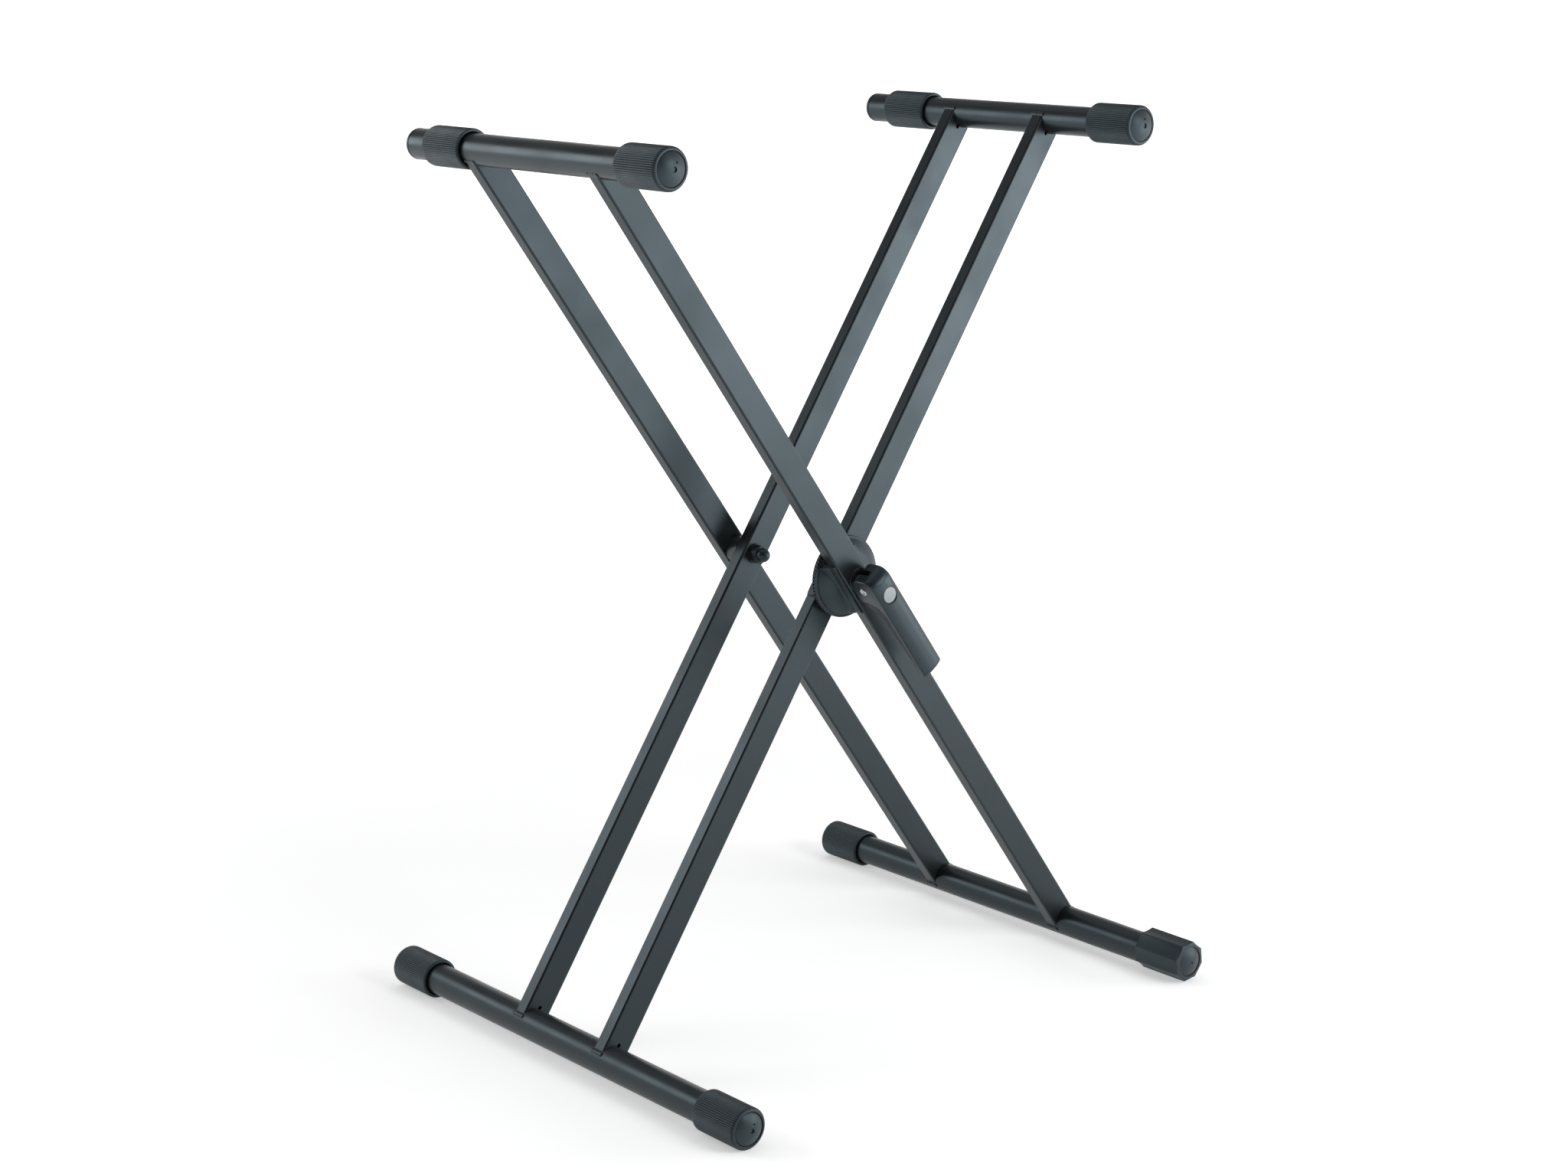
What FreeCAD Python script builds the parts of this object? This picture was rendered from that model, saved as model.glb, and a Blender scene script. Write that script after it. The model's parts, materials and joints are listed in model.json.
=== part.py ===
"""Folding keyboard stand: two pairs of crossed legs on a pivot that a toothed clutch and a lever clamp.

X runs across the spread of the legs, Y along the bars (the lever is on the -Y side) and Z up from the floor.
The outer pair of legs leans to -X at the top, the inner pair to +X.
"""
import FreeCAD, Part
import math
import os
import re
import Sketcher

SIZES = {
    # legs: rectangular tube, crossed at the pivot
    "half_angle": 34.75,
    "upper_reach": 523.0,
    "lower_reach": 527.0,
    "leg_width": 30.0,
    "leg_depth": 15.0,
    "leg_wall": 1.5,
    "leg_corner": 2.0,
    "upper_end_trim": 4.0,
    "foot_end_trim": 6.0,
    "inner_pitch": 129.2,
    "clutch_gap": 15.4,
    "weld_gap": 0.1,
    "vent_radius": 2.0,
    "vent_from_bar": 1.6,
    # bars: round tube, the upper ones carry the keyboard and the lower ones are the feet
    "upper_tube_radius": 15.0,
    "upper_tube_length": 380.0,
    "foot_tube_radius": 16.0,
    "foot_tube_length": 548.0,
    "tube_wall": 1.5,
    # caps and sleeves
    "cap_length": 58.5,
    "upper_cap_radius": 20.0,
    "foot_cap_radius": 20.5,
    "foot_flat": 0.4,
    "cap_floor": 4.65,
    "cap_round": 1.5,
    "cap_edge": 0.8,
    "cap_fit": 0.05,
    "mouth_width": 1.6,
    "mouth_depth": 6.0,
    "cap_rim": 3.8,
    "cap_groove": 1.0,
    "cap_dome": 4.5,
    "cap_dome_curve": 26.5,
    "cap_hole_radius": 2.4,
    "cap_hole_depth": 1.5,
    "sleeve_radius": 19.5,
    "sleeve_length": 58.5,
    "sleeve_clear_of_leg": 0.8,
    "sleeve_fit": 0.08,
    "plug_rim": 1.3,
    "plug_dome": 6.5,
    "plug_round": 4.5,
    "plug_stem": 14.0,
    "plug_fit": 0.05,
    # eccentric eight-sided cap that levels the stand
    "level_sides": 8.0,
    "level_ridge_radius": 21.4,
    "level_offset": 2.4,
    "level_turn": 5.5,
    "level_scoop_radius": 42.0,
    "level_scoop_depth": 0.5,
    "level_ring_radius": 17.4,
    "level_bevel": 1.6,
    "level_dish_radius": 15.8,
    "level_dish_depth": 1.0,
    "level_dome": 3.5,
    "level_dome_curve": 29.0,
    "level_hole_radius": 1.0,
    "level_hole_depth": 1.5,
    # pivot
    "bolt_radius": 5.0,
    "running_fit": 0.05,
    "bush_radius": 7.5,
    "bush_fit": 0.03,
    "side_play": 0.3,
    "spacer_radius": 14.0,
    "washer_radius": 10.5,
    "washer_thickness": 1.6,
    "hex_width": 17.0,
    "bolt_head_height": 6.4,
    "cap_nut_height": 8.0,
    "cap_nut_dome": 7.2,
    "cap_nut_collar": 2.4,
    "nut_height": 9.0,
    # toothed clutch discs
    "disc_radius": 41.2,
    "disc_rim": 2.2,
    "disc_crown_radius": 19.0,
    "disc_crown": 12.0,
    "disc_back_curve": 35.5,
    "tooth_count": 72.0,
    "tooth_inner_radius": 30.0,
    "tooth_depth": 1.2,
    "tooth_half_width": 1.1,
    "saddle_wall": 2.6,
    "saddle_half_length": 32.5,
    "saddle_cover": 13.0,
    "saddle_fit": 0.05,
    "spring_pocket_radius": 11.5,
    "spring_pocket_depth": 4.6,
    "spring_mean_radius": 8.6,
    "spring_wire_radius": 0.8,
    "spring_turns": 3.0,
    "spring_seat": 0.15,
    # clamp lever, measured from its cross pin
    "lever_width": 26.5,
    "lever_front": 35.0,
    "lever_crown": 2.0,
    "lever_crown_curve": 46.0,
    "lever_end": 117.0,
    "lever_underside": 23.0,
    "lever_heel": 18.0,
    "lever_finger_round": 5.0,
    "lever_nose_round": 12.0,
    "lever_wall": 2.6,
    "lever_edge_round": 1.6,
    "pin_out": 17.2,
    "cam_lift": 2.0,
    "cam_clearance": 0.3,
    "thrust_plate_radius": 12.5,
    "thrust_plate_thickness": 1.0,
    "thrust_plate_hole_play": 0.4,
    "tongue_thickness": 5.4,
    "tongue_play": 0.3,
    "pin_radius": 2.5,
    "pin_fit": 0.03,
    "pin_head_radius": 4.2,
    "pin_head_height": 1.8,
    "badge_radius": 9.6,
    "badge_thickness": 0.8,
    "badge_sink": 1.4,
    "badge_from_pin": 12.0,
}

AXIS_Y = FreeCAD.Vector(0, 1, 0)
AXIS_Z = FreeCAD.Vector(0, 0, 1)

# places that follow from the sizes
INNER_Y = "(inner_pitch / 2)"
OUTER_Y = "(inner_pitch / 2 + leg_depth + clutch_gap)"
OUTER_FACE = "(inner_pitch / 2 + 1.5 * leg_depth + clutch_gap)"
INNER_BACK = "(inner_pitch / 2 - leg_depth / 2)"
CLUTCH_Y = "(inner_pitch / 2 + leg_depth / 2 + clutch_gap / 2)"
FOOT_HEIGHT = "(foot_cap_radius - foot_flat)"
PIVOT_Z = "(lower_reach * cos(half_angle) + foot_cap_radius - foot_flat)"
UPPER_X = "(upper_reach * sin(half_angle))"
UPPER_Z = "(lower_reach * cos(half_angle) + foot_cap_radius - foot_flat + upper_reach * cos(half_angle))"
FOOT_X = "(lower_reach * sin(half_angle))"
PIN_Y = "(inner_pitch / 2 + 1.5 * leg_depth + clutch_gap + pin_out)"
CAM_RADIUS = "(pin_out - thrust_plate_thickness - cam_clearance - cam_lift / 2)"
DISC_DEPTH = "(clutch_gap / 2 - side_play / 2)"

doc = FreeCAD.newDocument("keyboard_stand")
sheet = doc.addObject("Spreadsheet::Sheet", "sizes")
for row, (alias, value) in enumerate(SIZES.items(), start=1):
    sheet.set(f"A{row}", alias)
    sheet.set(f"B{row}", str(value))
    sheet.setAlias(f"B{row}", alias)
doc.recompute()

pieces = []


def linked(formula):
    """Turns a formula in plain size names into one that reads the sheet."""
    return re.sub(r"[a-z_]+", lambda word: f"sizes.{word[0]}" if word[0] in SIZES else word[0], formula)


def number(formula):
    """The present value of a formula."""
    return float(sheet.evalExpression(linked(formula)))


def new_body(label):
    """Starts a piece."""
    body = doc.addObject("PartDesign::Body", label)
    body.Label = label
    pieces.append(body)
    return body


def place(item, x="0", y="0", z="0", turn="0"):
    """Sets a piece's place, and its turn about the Y axis in degrees."""
    item.Placement = FreeCAD.Placement(FreeCAD.Vector(), FreeCAD.Rotation(AXIS_Y, number(turn)))
    item.setExpression("Placement.Base.x", linked(x))
    item.setExpression("Placement.Base.y", linked(y))
    item.setExpression("Placement.Base.z", linked(z))
    if turn != "0":
        item.setExpression("Placement.Rotation.Angle", linked(turn))


def origin_item(body, role):
    """One of the body's own origin planes or axes."""
    return next(item for item in body.Origin.OriginFeatures if item.Role == role)


def sketch_on(body, role, offset="0"):
    """A sketch on one of the body's origin planes, moved along that plane's normal."""
    sketch = body.newObject("Sketcher::SketchObject", f"{body.Label}_sketch")
    sketch.AttachmentSupport = [(origin_item(body, role), "")]
    sketch.MapMode = "FlatFace"
    if offset != "0":
        sketch.setExpression("AttachmentOffset.Base.z", linked(offset))
    return sketch


def fix_point(sketch, geometry, position, x, y):
    """Holds a point of the sketch at two formulas."""
    for formula, kind, axis in ((x, "DistanceX", -2), (y, "DistanceY", -1)):
        if formula == "0":
            sketch.addConstraint(Sketcher.Constraint("PointOnObject", geometry, position, axis))
            continue
        index = sketch.addConstraint(
            Sketcher.Constraint(kind, -1, 1, geometry, position, number(formula)))
        sketch.setExpression(f"Constraints[{index}]", linked(formula))


def circle(sketch, radius, x="0", y="0"):
    """A circle with its centre and radius held."""
    centre = FreeCAD.Vector(number(x), number(y), 0)
    geometry = sketch.addGeometry(Part.Circle(centre, AXIS_Z, number(radius)))
    fix_point(sketch, geometry, 3, x, y)
    index = sketch.addConstraint(Sketcher.Constraint("Radius", geometry, number(radius)))
    sketch.setExpression(f"Constraints[{index}]", linked(radius))


def outline(sketch, points, arcs=None):
    """A closed outline through points given as pairs of formulas.

    arcs maps the number of a side to its radius and bend: +1 keeps the arc's centre left of the side's direction.
    """
    arcs = arcs or {}
    spots = [FreeCAD.Vector(number(x), number(y), 0) for x, y in points]
    sides = []
    for side, start in enumerate(spots):
        end = spots[(side + 1) % len(spots)]
        if side not in arcs:
            geometry = sketch.addGeometry(Part.LineSegment(start, end))
            sides.append((geometry, 1, 2))
            continue
        radius, bend = arcs[side]
        chord = end - start
        left = FreeCAD.Vector(-chord.y, chord.x, 0).normalize()
        reach = math.sqrt(number(radius) ** 2 - (chord.Length / 2) ** 2)
        centre = (start + end) / 2 + left * (bend * reach)
        first, last = (start, end) if bend > 0 else (end, start)
        angles = [math.atan2(spot.y - centre.y, spot.x - centre.x) for spot in (first, last)]
        curve = Part.ArcOfCircle(Part.Circle(centre, AXIS_Z, number(radius)), *angles)
        geometry = sketch.addGeometry(curve)
        sides.append((geometry, 1, 2) if bend > 0 else (geometry, 2, 1))
        index = sketch.addConstraint(Sketcher.Constraint("Radius", geometry, number(radius)))
        sketch.setExpression(f"Constraints[{index}]", linked(radius))
    for side, (geometry, start, end) in enumerate(sides):
        following, begin = sides[(side + 1) % len(sides)][:2]
        sketch.addConstraint(Sketcher.Constraint("Coincident", geometry, end, following, begin))
        fix_point(sketch, geometry, start, *points[side])


def rectangle(sketch, left, right, low, high):
    """A rectangle between formulas."""
    outline(sketch, [(left, low), (right, low), (right, high), (left, high)])


def centred_rectangle(sketch, width, height):
    """A rectangle centred on the sketch's origin."""
    rectangle(sketch, f"-({width}) / 2", f"({width}) / 2", f"-({height}) / 2", f"({height}) / 2")


def extrude(body, kind, sketch, length, symmetric=False, reverse=False):
    """A Pad or a Pocket of a sketch."""
    feature = body.newObject(f"PartDesign::{kind}", f"{body.Label}_{kind.lower()}")
    feature.Profile = sketch
    feature.setExpression("Length", linked(length))
    feature.SideType = "Symmetric" if symmetric else "One side"
    feature.Reversed = reverse
    doc.recompute()
    return feature


def revolve(body, points, arcs=None, kind="Revolution"):
    """A turned shape or groove about the body's Y axis, from an outline of radius and place along the axis."""
    sketch = sketch_on(body, "XY_Plane")
    outline(sketch, points, arcs)
    feature = body.newObject(f"PartDesign::{kind}", f"{body.Label}_turned")
    feature.Profile = sketch
    feature.ReferenceAxis = (sketch, ["V_Axis"])
    feature.Angle = 360.0
    doc.recompute()
    return feature


def around(body, original, count):
    """Repeats a feature round the body's Y axis."""
    pattern = body.newObject("PartDesign::PolarPattern", f"{body.Label}_pattern")
    pattern.Originals = [original]
    pattern.Axis = (origin_item(body, "Y_Axis"), [""])
    pattern.Angle = 360.0
    pattern.setExpression("Occurrences", linked(count))
    body.Tip = pattern
    doc.recompute()
    return pattern


def round_edges(body, radius, chosen):
    """Fillets the edges of the body that a test picks."""
    base = body.Tip
    names = [f"Edge{count}" for count, edge in enumerate(base.Shape.Edges, start=1) if chosen(edge)]
    feature = body.newObject("PartDesign::Fillet", f"{body.Label}_round")
    feature.Base = (base, names)
    feature.setExpression("Radius", linked(radius))
    doc.recompute()
    return feature


def near(first, second):
    """Whether two measures are the same."""
    return abs(first - second) < 1e-4


def hexagon(sketch):
    """A nut's hexagon, from its width across flats."""
    spots = []
    for corner in range(6):
        turn = 60 * corner + 30
        spots.append((f"hex_width / sqrt(3) * cos({turn})", f"hex_width / sqrt(3) * sin({turn})"))
    spots[1] = ("0", spots[1][1])
    spots[4] = ("0", spots[4][1])
    outline(sketch, spots)


def leg(label, y, turn, vented):
    """A leg of rectangular tube, coped to the bars at both ends, with its pivot hole."""
    body = new_body(label)
    section = sketch_on(body, "XY_Plane", "-(lower_reach - foot_end_trim)")
    centred_rectangle(section, "leg_width", "leg_depth")
    centred_rectangle(section, "leg_width - 2 * leg_wall", "leg_depth - 2 * leg_wall")
    extrude(body, "Pad", section, "upper_reach + lower_reach - upper_end_trim - foot_end_trim")
    half_width = number("leg_width / 2")
    half_depth = number("leg_depth / 2")

    def long_corner(edge):
        middle = edge.CenterOfMass
        return near(abs(middle.x), half_width) and near(abs(middle.y), half_depth)

    round_edges(body, "leg_corner", long_corner)
    holes = sketch_on(body, "XZ_Plane")
    circle(holes, "upper_tube_radius + weld_gap", y="upper_reach")
    circle(holes, "foot_tube_radius + weld_gap", y="-lower_reach")
    circle(holes, "bush_radius + bush_fit")
    extrude(body, "Pocket", holes, "2 * leg_depth", symmetric=True)
    if vented:
        vents = sketch_on(body, "XZ_Plane", "leg_depth / 2")
        circle(vents, "vent_radius", y="upper_reach - upper_tube_radius - vent_from_bar")
        circle(vents, "vent_radius", y="-(lower_reach - foot_tube_radius - vent_from_bar)")
        extrude(body, "Pocket", vents, "leg_depth / 2")
    place(body, y=y, z=PIVOT_Z, turn=turn)


def bar(label, radius, length, x, z):
    """A round tube along Y."""
    body = new_body(label)
    section = sketch_on(body, "XZ_Plane")
    circle(section, radius)
    circle(section, f"{radius} - tube_wall")
    extrude(body, "Pad", section, length, symmetric=True)
    place(body, x=x, z=z)


def closed_cap(label, outer, tube, tube_length, side, x, z, flat=False):
    """A cap pushed over a tube's end: a domed end inside a rim, a bore that ends on the tube, a wider mouth.

    side is "-" for the tube's near end and "" for the far one. Places are counted from the rim's face.
    """
    body = new_body(label)
    inward = "" if side == "-" else "-"
    bore = f"({tube} + cap_fit)"
    profile = [
        ("0", "cap_hole_depth - cap_dome"),
        ("cap_hole_radius", "cap_hole_depth - cap_dome"),
        ("cap_hole_radius", "-cap_dome"),
        (f"{outer} - cap_rim", "cap_groove"),
        (f"{outer} - cap_rim", "0"),
        (f"{outer} - cap_edge", "0"),
        (outer, "cap_edge"),
        (outer, "cap_length - cap_round"),
        (f"{outer} - cap_round", "cap_length"),
        (f"{bore} + mouth_width", "cap_length"),
        (bore, "cap_length - mouth_depth"),
        (bore, "cap_floor"),
        ("0", "cap_floor"),
    ]
    points = [(radius, along if along == "0" else f"{inward}({along})") for radius, along in profile]
    bend = 1 if inward == "" else -1
    revolve(body, points, {2: ("cap_dome_curve", bend), 5: ("cap_edge", bend), 7: ("cap_round", bend)})
    if flat:
        under = sketch_on(body, "XZ_Plane")
        rectangle(under, f"-{outer}", outer, f"-2 * {outer}", f"-({outer} - foot_flat)")
        extrude(body, "Pocket", under, "3 * cap_length", symmetric=True)
    end = f"({tube_length} / 2 + cap_floor + cap_fit)"
    place(body, x=x, y=f"{side}{end}", z=z)


def sleeve(label, y, x, z):
    """A sleeve that slides on an upper bar, with its wider mouth towards the legs."""
    body = new_body(label)
    bore = "(upper_tube_radius + sleeve_fit)"
    profile = [
        (bore, "mouth_depth"),
        (f"{bore} + mouth_width", "0"),
        ("sleeve_radius - cap_round", "0"),
        ("sleeve_radius", "cap_round"),
        ("sleeve_radius", "sleeve_length - cap_round"),
        ("sleeve_radius - cap_round", "sleeve_length"),
        (bore, "sleeve_length"),
    ]
    revolve(body, profile, {2: ("cap_round", 1), 4: ("cap_round", 1)})
    place(body, x=x, y=y, z=z)


def tube_plug(label, x, z):
    """A domed plug in the far end of an upper bar."""
    body = new_body(label)
    stem = "(upper_tube_radius - tube_wall - plug_fit)"
    head = "(upper_tube_radius + plug_rim)"
    profile = [
        ("0", "plug_dome"),
        ("0", "-plug_stem"),
        (stem, "-plug_stem"),
        (stem, "0"),
        (head, "0"),
        (head, "plug_dome - plug_round"),
        (f"{head} - plug_round", "plug_dome"),
    ]
    revolve(body, profile, {5: ("plug_round", 1)})
    place(body, x=x, y="upper_tube_length / 2", z=z)


def levelling_cap():
    """An eight-sided cap with scooped sides, bored off its centre so that turning it lifts its corner.

    The bore lies away from one of the upper ridges, so the cap stands highest there.
    """
    body = new_body("levelling_cap")
    flat = "(level_ridge_radius * cos(180 / level_sides))"
    high_ridge = "(540 / level_sides)"
    blank = sketch_on(body, "XZ_Plane")
    circle(blank, "level_ridge_radius")
    extrude(body, "Pad", blank, "cap_length", reverse=True)
    scoop = sketch_on(body, "XZ_Plane")
    circle(scoop, "level_scoop_radius", y=f"-({flat} - level_scoop_depth + level_scoop_radius)")
    cut = extrude(body, "Pocket", scoop, "3 * cap_length", symmetric=True)
    around(body, cut, "level_sides")
    bore = sketch_on(body, "XZ_Plane", "-cap_floor")
    circle(bore, "foot_tube_radius + sleeve_fit", x=f"-level_offset * cos({high_ridge})",
           y=f"-level_offset * sin({high_ridge})")
    extrude(body, "Pocket", bore, "cap_length")
    beyond = "(level_ridge_radius + level_bevel)"
    revolve(body, [("level_ring_radius", "0"), (beyond, "0"), (beyond, "level_bevel")], kind="Groove")
    dish = sketch_on(body, "XZ_Plane")
    circle(dish, "level_dish_radius")
    extrude(body, "Pocket", dish, "level_dish_depth")
    revolve(body, [
        ("0", "level_dish_depth"),
        ("0", "level_hole_depth - level_dome"),
        ("level_hole_radius", "level_hole_depth - level_dome"),
        ("level_hole_radius", "-level_dome"),
        ("level_dish_radius", "level_dish_depth"),
    ], {3: ("level_dome_curve", 1)})
    end = "(foot_tube_length / 2 + cap_floor + cap_fit)"
    place(body, x=f"{FOOT_X} + level_offset * cos({high_ridge} + level_turn)", y=f"-{end}",
          z=f"{FOOT_HEIGHT} + level_offset * sin({high_ridge} + level_turn)", turn="-level_turn")


def clutch_disc(label, side, y, turn):
    """A disc with radial teeth on one face and, behind, a crown and a saddle that hugs a leg.

    side is "-" where the leg lies towards -Y from the teeth, and "" where it lies towards +Y.
    """
    body = new_body(label)
    bend = 1 if side == "" else -1
    profile = [
        ("bolt_radius + running_fit", f"{side}spring_pocket_depth"),
        ("spring_pocket_radius", f"{side}spring_pocket_depth"),
        ("spring_pocket_radius", f"{side}tooth_depth"),
        ("tooth_inner_radius", f"{side}tooth_depth"),
        ("tooth_inner_radius", "0"),
        ("disc_radius", "0"),
        ("disc_radius", f"{side}disc_rim"),
        ("disc_crown_radius", f"{side}disc_crown"),
        ("bolt_radius + running_fit", f"{side}disc_crown"),
    ]
    revolve(body, profile, {6: ("disc_back_curve", bend)})
    inner = "(leg_width / 2 + saddle_fit)"
    outer = "(leg_width / 2 + saddle_fit + saddle_wall)"
    wall = sketch_on(body, "XY_Plane")
    for hand in ("", "-"):
        points = [(f"{hand}{inner}", f"{side}disc_rim")]
        points.append((f"{hand}({outer} + saddle_wall)", f"{side}disc_rim"))
        points.append((f"{hand}{outer}", f"{side}({DISC_DEPTH} + saddle_cover)"))
        points.append((f"{hand}{inner}", f"{side}({DISC_DEPTH} + saddle_cover)"))
        outline(wall, points)
    extrude(body, "Pad", wall, "2 * saddle_half_length", symmetric=True)
    channel = sketch_on(body, "XY_Plane")
    low, high = (DISC_DEPTH, "2 * disc_crown + saddle_cover")
    if side == "-":
        low, high = (f"-({high})", f"-{low}")
    rectangle(channel, f"-{inner}", inner, low, high)
    extrude(body, "Pocket", channel, "3 * disc_radius", symmetric=True)
    tooth = sketch_on(body, "YZ_Plane", "tooth_inner_radius - tooth_depth")
    outline(tooth, [("0", "tooth_half_width"), (f"{side}tooth_depth", "0"), ("0", "-tooth_half_width")])
    gap = extrude(body, "Pocket", tooth, "disc_radius", reverse=True)
    around(body, gap, "tooth_count")
    place(body, y=y, z=PIVOT_Z, turn=turn)


def ring(label, inner, outer, thickness, y):
    """A washer, bush or spacer round the pivot, from y towards +Y."""
    body = new_body(label)
    section = sketch_on(body, "XZ_Plane")
    circle(section, outer)
    circle(section, inner)
    extrude(body, "Pad", section, thickness, reverse=True)
    place(body, y=y, z=PIVOT_Z)
    return body


def ring_pair(label, inner, outer, thickness, places):
    """Two like rings round the pivot in one piece, each from its own y towards +Y."""
    halves = []
    for end, y in zip(("near", "far"), places):
        halves.append(ring(f"{label}_{end}", inner, outer, thickness, y))
        pieces.pop()
    pair = doc.addObject("Part::Compound", label)
    pair.Label = label
    pair.Links = halves
    pieces.append(pair)


def pivot_bolt():
    """The far pivot's bolt, with its head outside the outer leg."""
    body = new_body("pivot_bolt")
    head = sketch_on(body, "XZ_Plane")
    hexagon(head)
    extrude(body, "Pad", head, "bolt_head_height", reverse=True)
    shank = sketch_on(body, "XZ_Plane")
    circle(shank, "bolt_radius")
    grip = f"({OUTER_FACE} + washer_thickness - {INNER_BACK} + side_play + washer_thickness)"
    extrude(body, "Pad", shank, f"{grip} + cap_nut_height")
    place(body, y=f"{OUTER_FACE} + washer_thickness", z=PIVOT_Z)


def cap_nut():
    """The far pivot's domed nut, inside the inner leg."""
    body = new_body("cap_nut")
    flats = sketch_on(body, "XZ_Plane")
    hexagon(flats)
    extrude(body, "Pad", flats, "cap_nut_height")
    revolve(body, [("0", "-cap_nut_height / 2"), ("cap_nut_dome", "-cap_nut_height / 2"),
                   ("cap_nut_dome", "-(cap_nut_height + cap_nut_collar)"),
                   ("0", "-(cap_nut_height + cap_nut_collar + cap_nut_dome)")],
            {2: ("cap_nut_dome", -1)})
    thread = sketch_on(body, "XZ_Plane")
    circle(thread, "bolt_radius + bush_fit")
    extrude(body, "Pocket", thread, "cap_nut_height + bush_fit", reverse=True)
    place(body, y=f"{INNER_BACK} - side_play - washer_thickness", z=PIVOT_Z)


def eye_bolt():
    """The clutch's draw bolt: a round shank flattened to a tongue that the lever's pin goes through."""
    body = new_body("eye_bolt")
    shank = sketch_on(body, "XZ_Plane", f"-({PIN_Y} - {INNER_BACK} + side_play + washer_thickness + nut_height)")
    circle(shank, "bolt_radius")
    extrude(body, "Pad", shank, f"{PIN_Y} - {INNER_BACK} + side_play + washer_thickness + nut_height")
    tip = sketch_on(body, "YZ_Plane")
    circle(tip, "bolt_radius")
    extrude(body, "Pad", tip, "tongue_thickness", symmetric=True)
    for hand in ("", "-"):
        flat = sketch_on(body, "YZ_Plane", f"{hand}tongue_thickness / 2")
        rectangle(flat, "-2 * bolt_radius", "pin_out - thrust_plate_thickness / 2",
                  "-2 * bolt_radius", "2 * bolt_radius")
        extrude(body, "Pocket", flat, "bolt_radius", reverse=(hand == ""))
    eye = sketch_on(body, "YZ_Plane")
    circle(eye, "pin_radius + running_fit")
    extrude(body, "Pocket", eye, "4 * bolt_radius", symmetric=True)
    place(body, y=f"-{PIN_Y}", z=PIVOT_Z, turn="-half_angle")


def draw_nut():
    """The nut on the draw bolt, inside the inner leg."""
    body = new_body("draw_nut")
    flats = sketch_on(body, "XZ_Plane")
    hexagon(flats)
    circle(flats, "bolt_radius + bush_fit")
    extrude(body, "Pad", flats, "nut_height", reverse=True)
    place(body, y=f"-({INNER_BACK} - side_play - washer_thickness)", z=PIVOT_Z)


def clamp_lever():
    """The clamp lever: an eccentric head on the cross pin, two cheeks and a handle hollow underneath.

    The outline is drawn with the leg's outward direction to -X of the sketch and its way down to -Y.
    """
    body = new_body("clamp_lever")
    nose = f"({CAM_RADIUS} - cam_lift / 2)"
    edge_front = "-(lever_front - pin_out)"
    front = "-(lever_front + lever_crown - pin_out)"
    under = "-(lever_underside - pin_out)"
    base = f"({CAM_RADIUS} + cam_lift / 2)"
    side = sketch_on(body, "YZ_Plane")
    outline(side, [
        (base, "-cam_lift / 2"),
        ("cam_lift / 2", nose),
        (f"{front} + lever_nose_round", nose),
        (front, f"{nose} - lever_nose_round"),
        (front, "-lever_end"),
        (under, "-lever_end"),
        (under, "-(lever_heel + lever_finger_round)"),
        (f"{under} + lever_finger_round", "-lever_heel"),
        (base, "-lever_heel"),
    ], {0: (CAM_RADIUS, 1), 2: ("lever_nose_round", 1), 6: ("lever_finger_round", -1)})
    extrude(body, "Pad", side, "lever_width", symmetric=True)
    crown = sketch_on(body, "XY_Plane")
    outline(crown, [
        ("-lever_width / 2", edge_front),
        ("lever_width / 2", edge_front),
        ("lever_width / 2", f"2 * {front}"),
        ("-lever_width / 2", f"2 * {front}"),
    ], {0: ("lever_crown_curve", 1)})
    extrude(body, "Pocket", crown, "3 * lever_end", symmetric=True)
    half_width = number("lever_width / 2")
    front_y = number(edge_front)

    def front_edge(edge):
        middle = edge.CenterOfMass
        return near(abs(middle.x), half_width) and middle.y < front_y / 2

    round_edges(body, "lever_edge_round", front_edge)
    hollow = sketch_on(body, "YZ_Plane")
    rectangle(hollow, f"{edge_front} + lever_wall", f"{under} + lever_wall", "-(lever_end - lever_wall)",
              "-(lever_heel + lever_wall)")
    extrude(body, "Pocket", hollow, "lever_width - 2 * lever_wall", symmetric=True)
    slot = sketch_on(body, "YZ_Plane")
    rectangle(slot, "-(bolt_radius + 2 * tongue_play)", "2 * pin_out",
              "-(bolt_radius + 2 * tongue_play)", "2 * pin_out")
    extrude(body, "Pocket", slot, "tongue_thickness + 2 * tongue_play", symmetric=True)
    eye = sketch_on(body, "YZ_Plane")
    circle(eye, "pin_radius + pin_fit")
    extrude(body, "Pocket", eye, "2 * lever_width", symmetric=True)
    seat = sketch_on(body, "XZ_Plane", "lever_front + lever_crown - pin_out")
    circle(seat, "badge_radius + pin_fit", y="-badge_from_pin")
    extrude(body, "Pocket", seat, "badge_sink")
    place(body, y=f"-{PIN_Y}", z=PIVOT_Z, turn="-half_angle")


def lever_pin():
    """The lever's cross pin with its round head on the left cheek and a riveted end on the right one."""
    body = new_body("lever_pin")
    shank = sketch_on(body, "YZ_Plane", "-lever_width / 2")
    circle(shank, "pin_radius")
    extrude(body, "Pad", shank, "lever_width")
    head = sketch_on(body, "YZ_Plane", "-lever_width / 2")
    circle(head, "pin_head_radius")
    extrude(body, "Pad", head, "pin_head_height", reverse=True)
    rivet = sketch_on(body, "YZ_Plane", "lever_width / 2")
    circle(rivet, "pin_head_radius")
    extrude(body, "Pad", rivet, "pin_head_height / 2")
    place(body, y=f"-{PIN_Y}", z=PIVOT_Z, turn="-half_angle")


def lever_badge():
    """A bare round badge let into the lever's front."""
    body = new_body("lever_badge")
    face = sketch_on(body, "XZ_Plane", "lever_front + lever_crown - pin_out - badge_sink")
    circle(face, "badge_radius", y="-badge_from_pin")
    extrude(body, "Pad", face, "badge_thickness")
    place(body, y=f"-{PIN_Y}", z=PIVOT_Z, turn="-half_angle")


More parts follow.
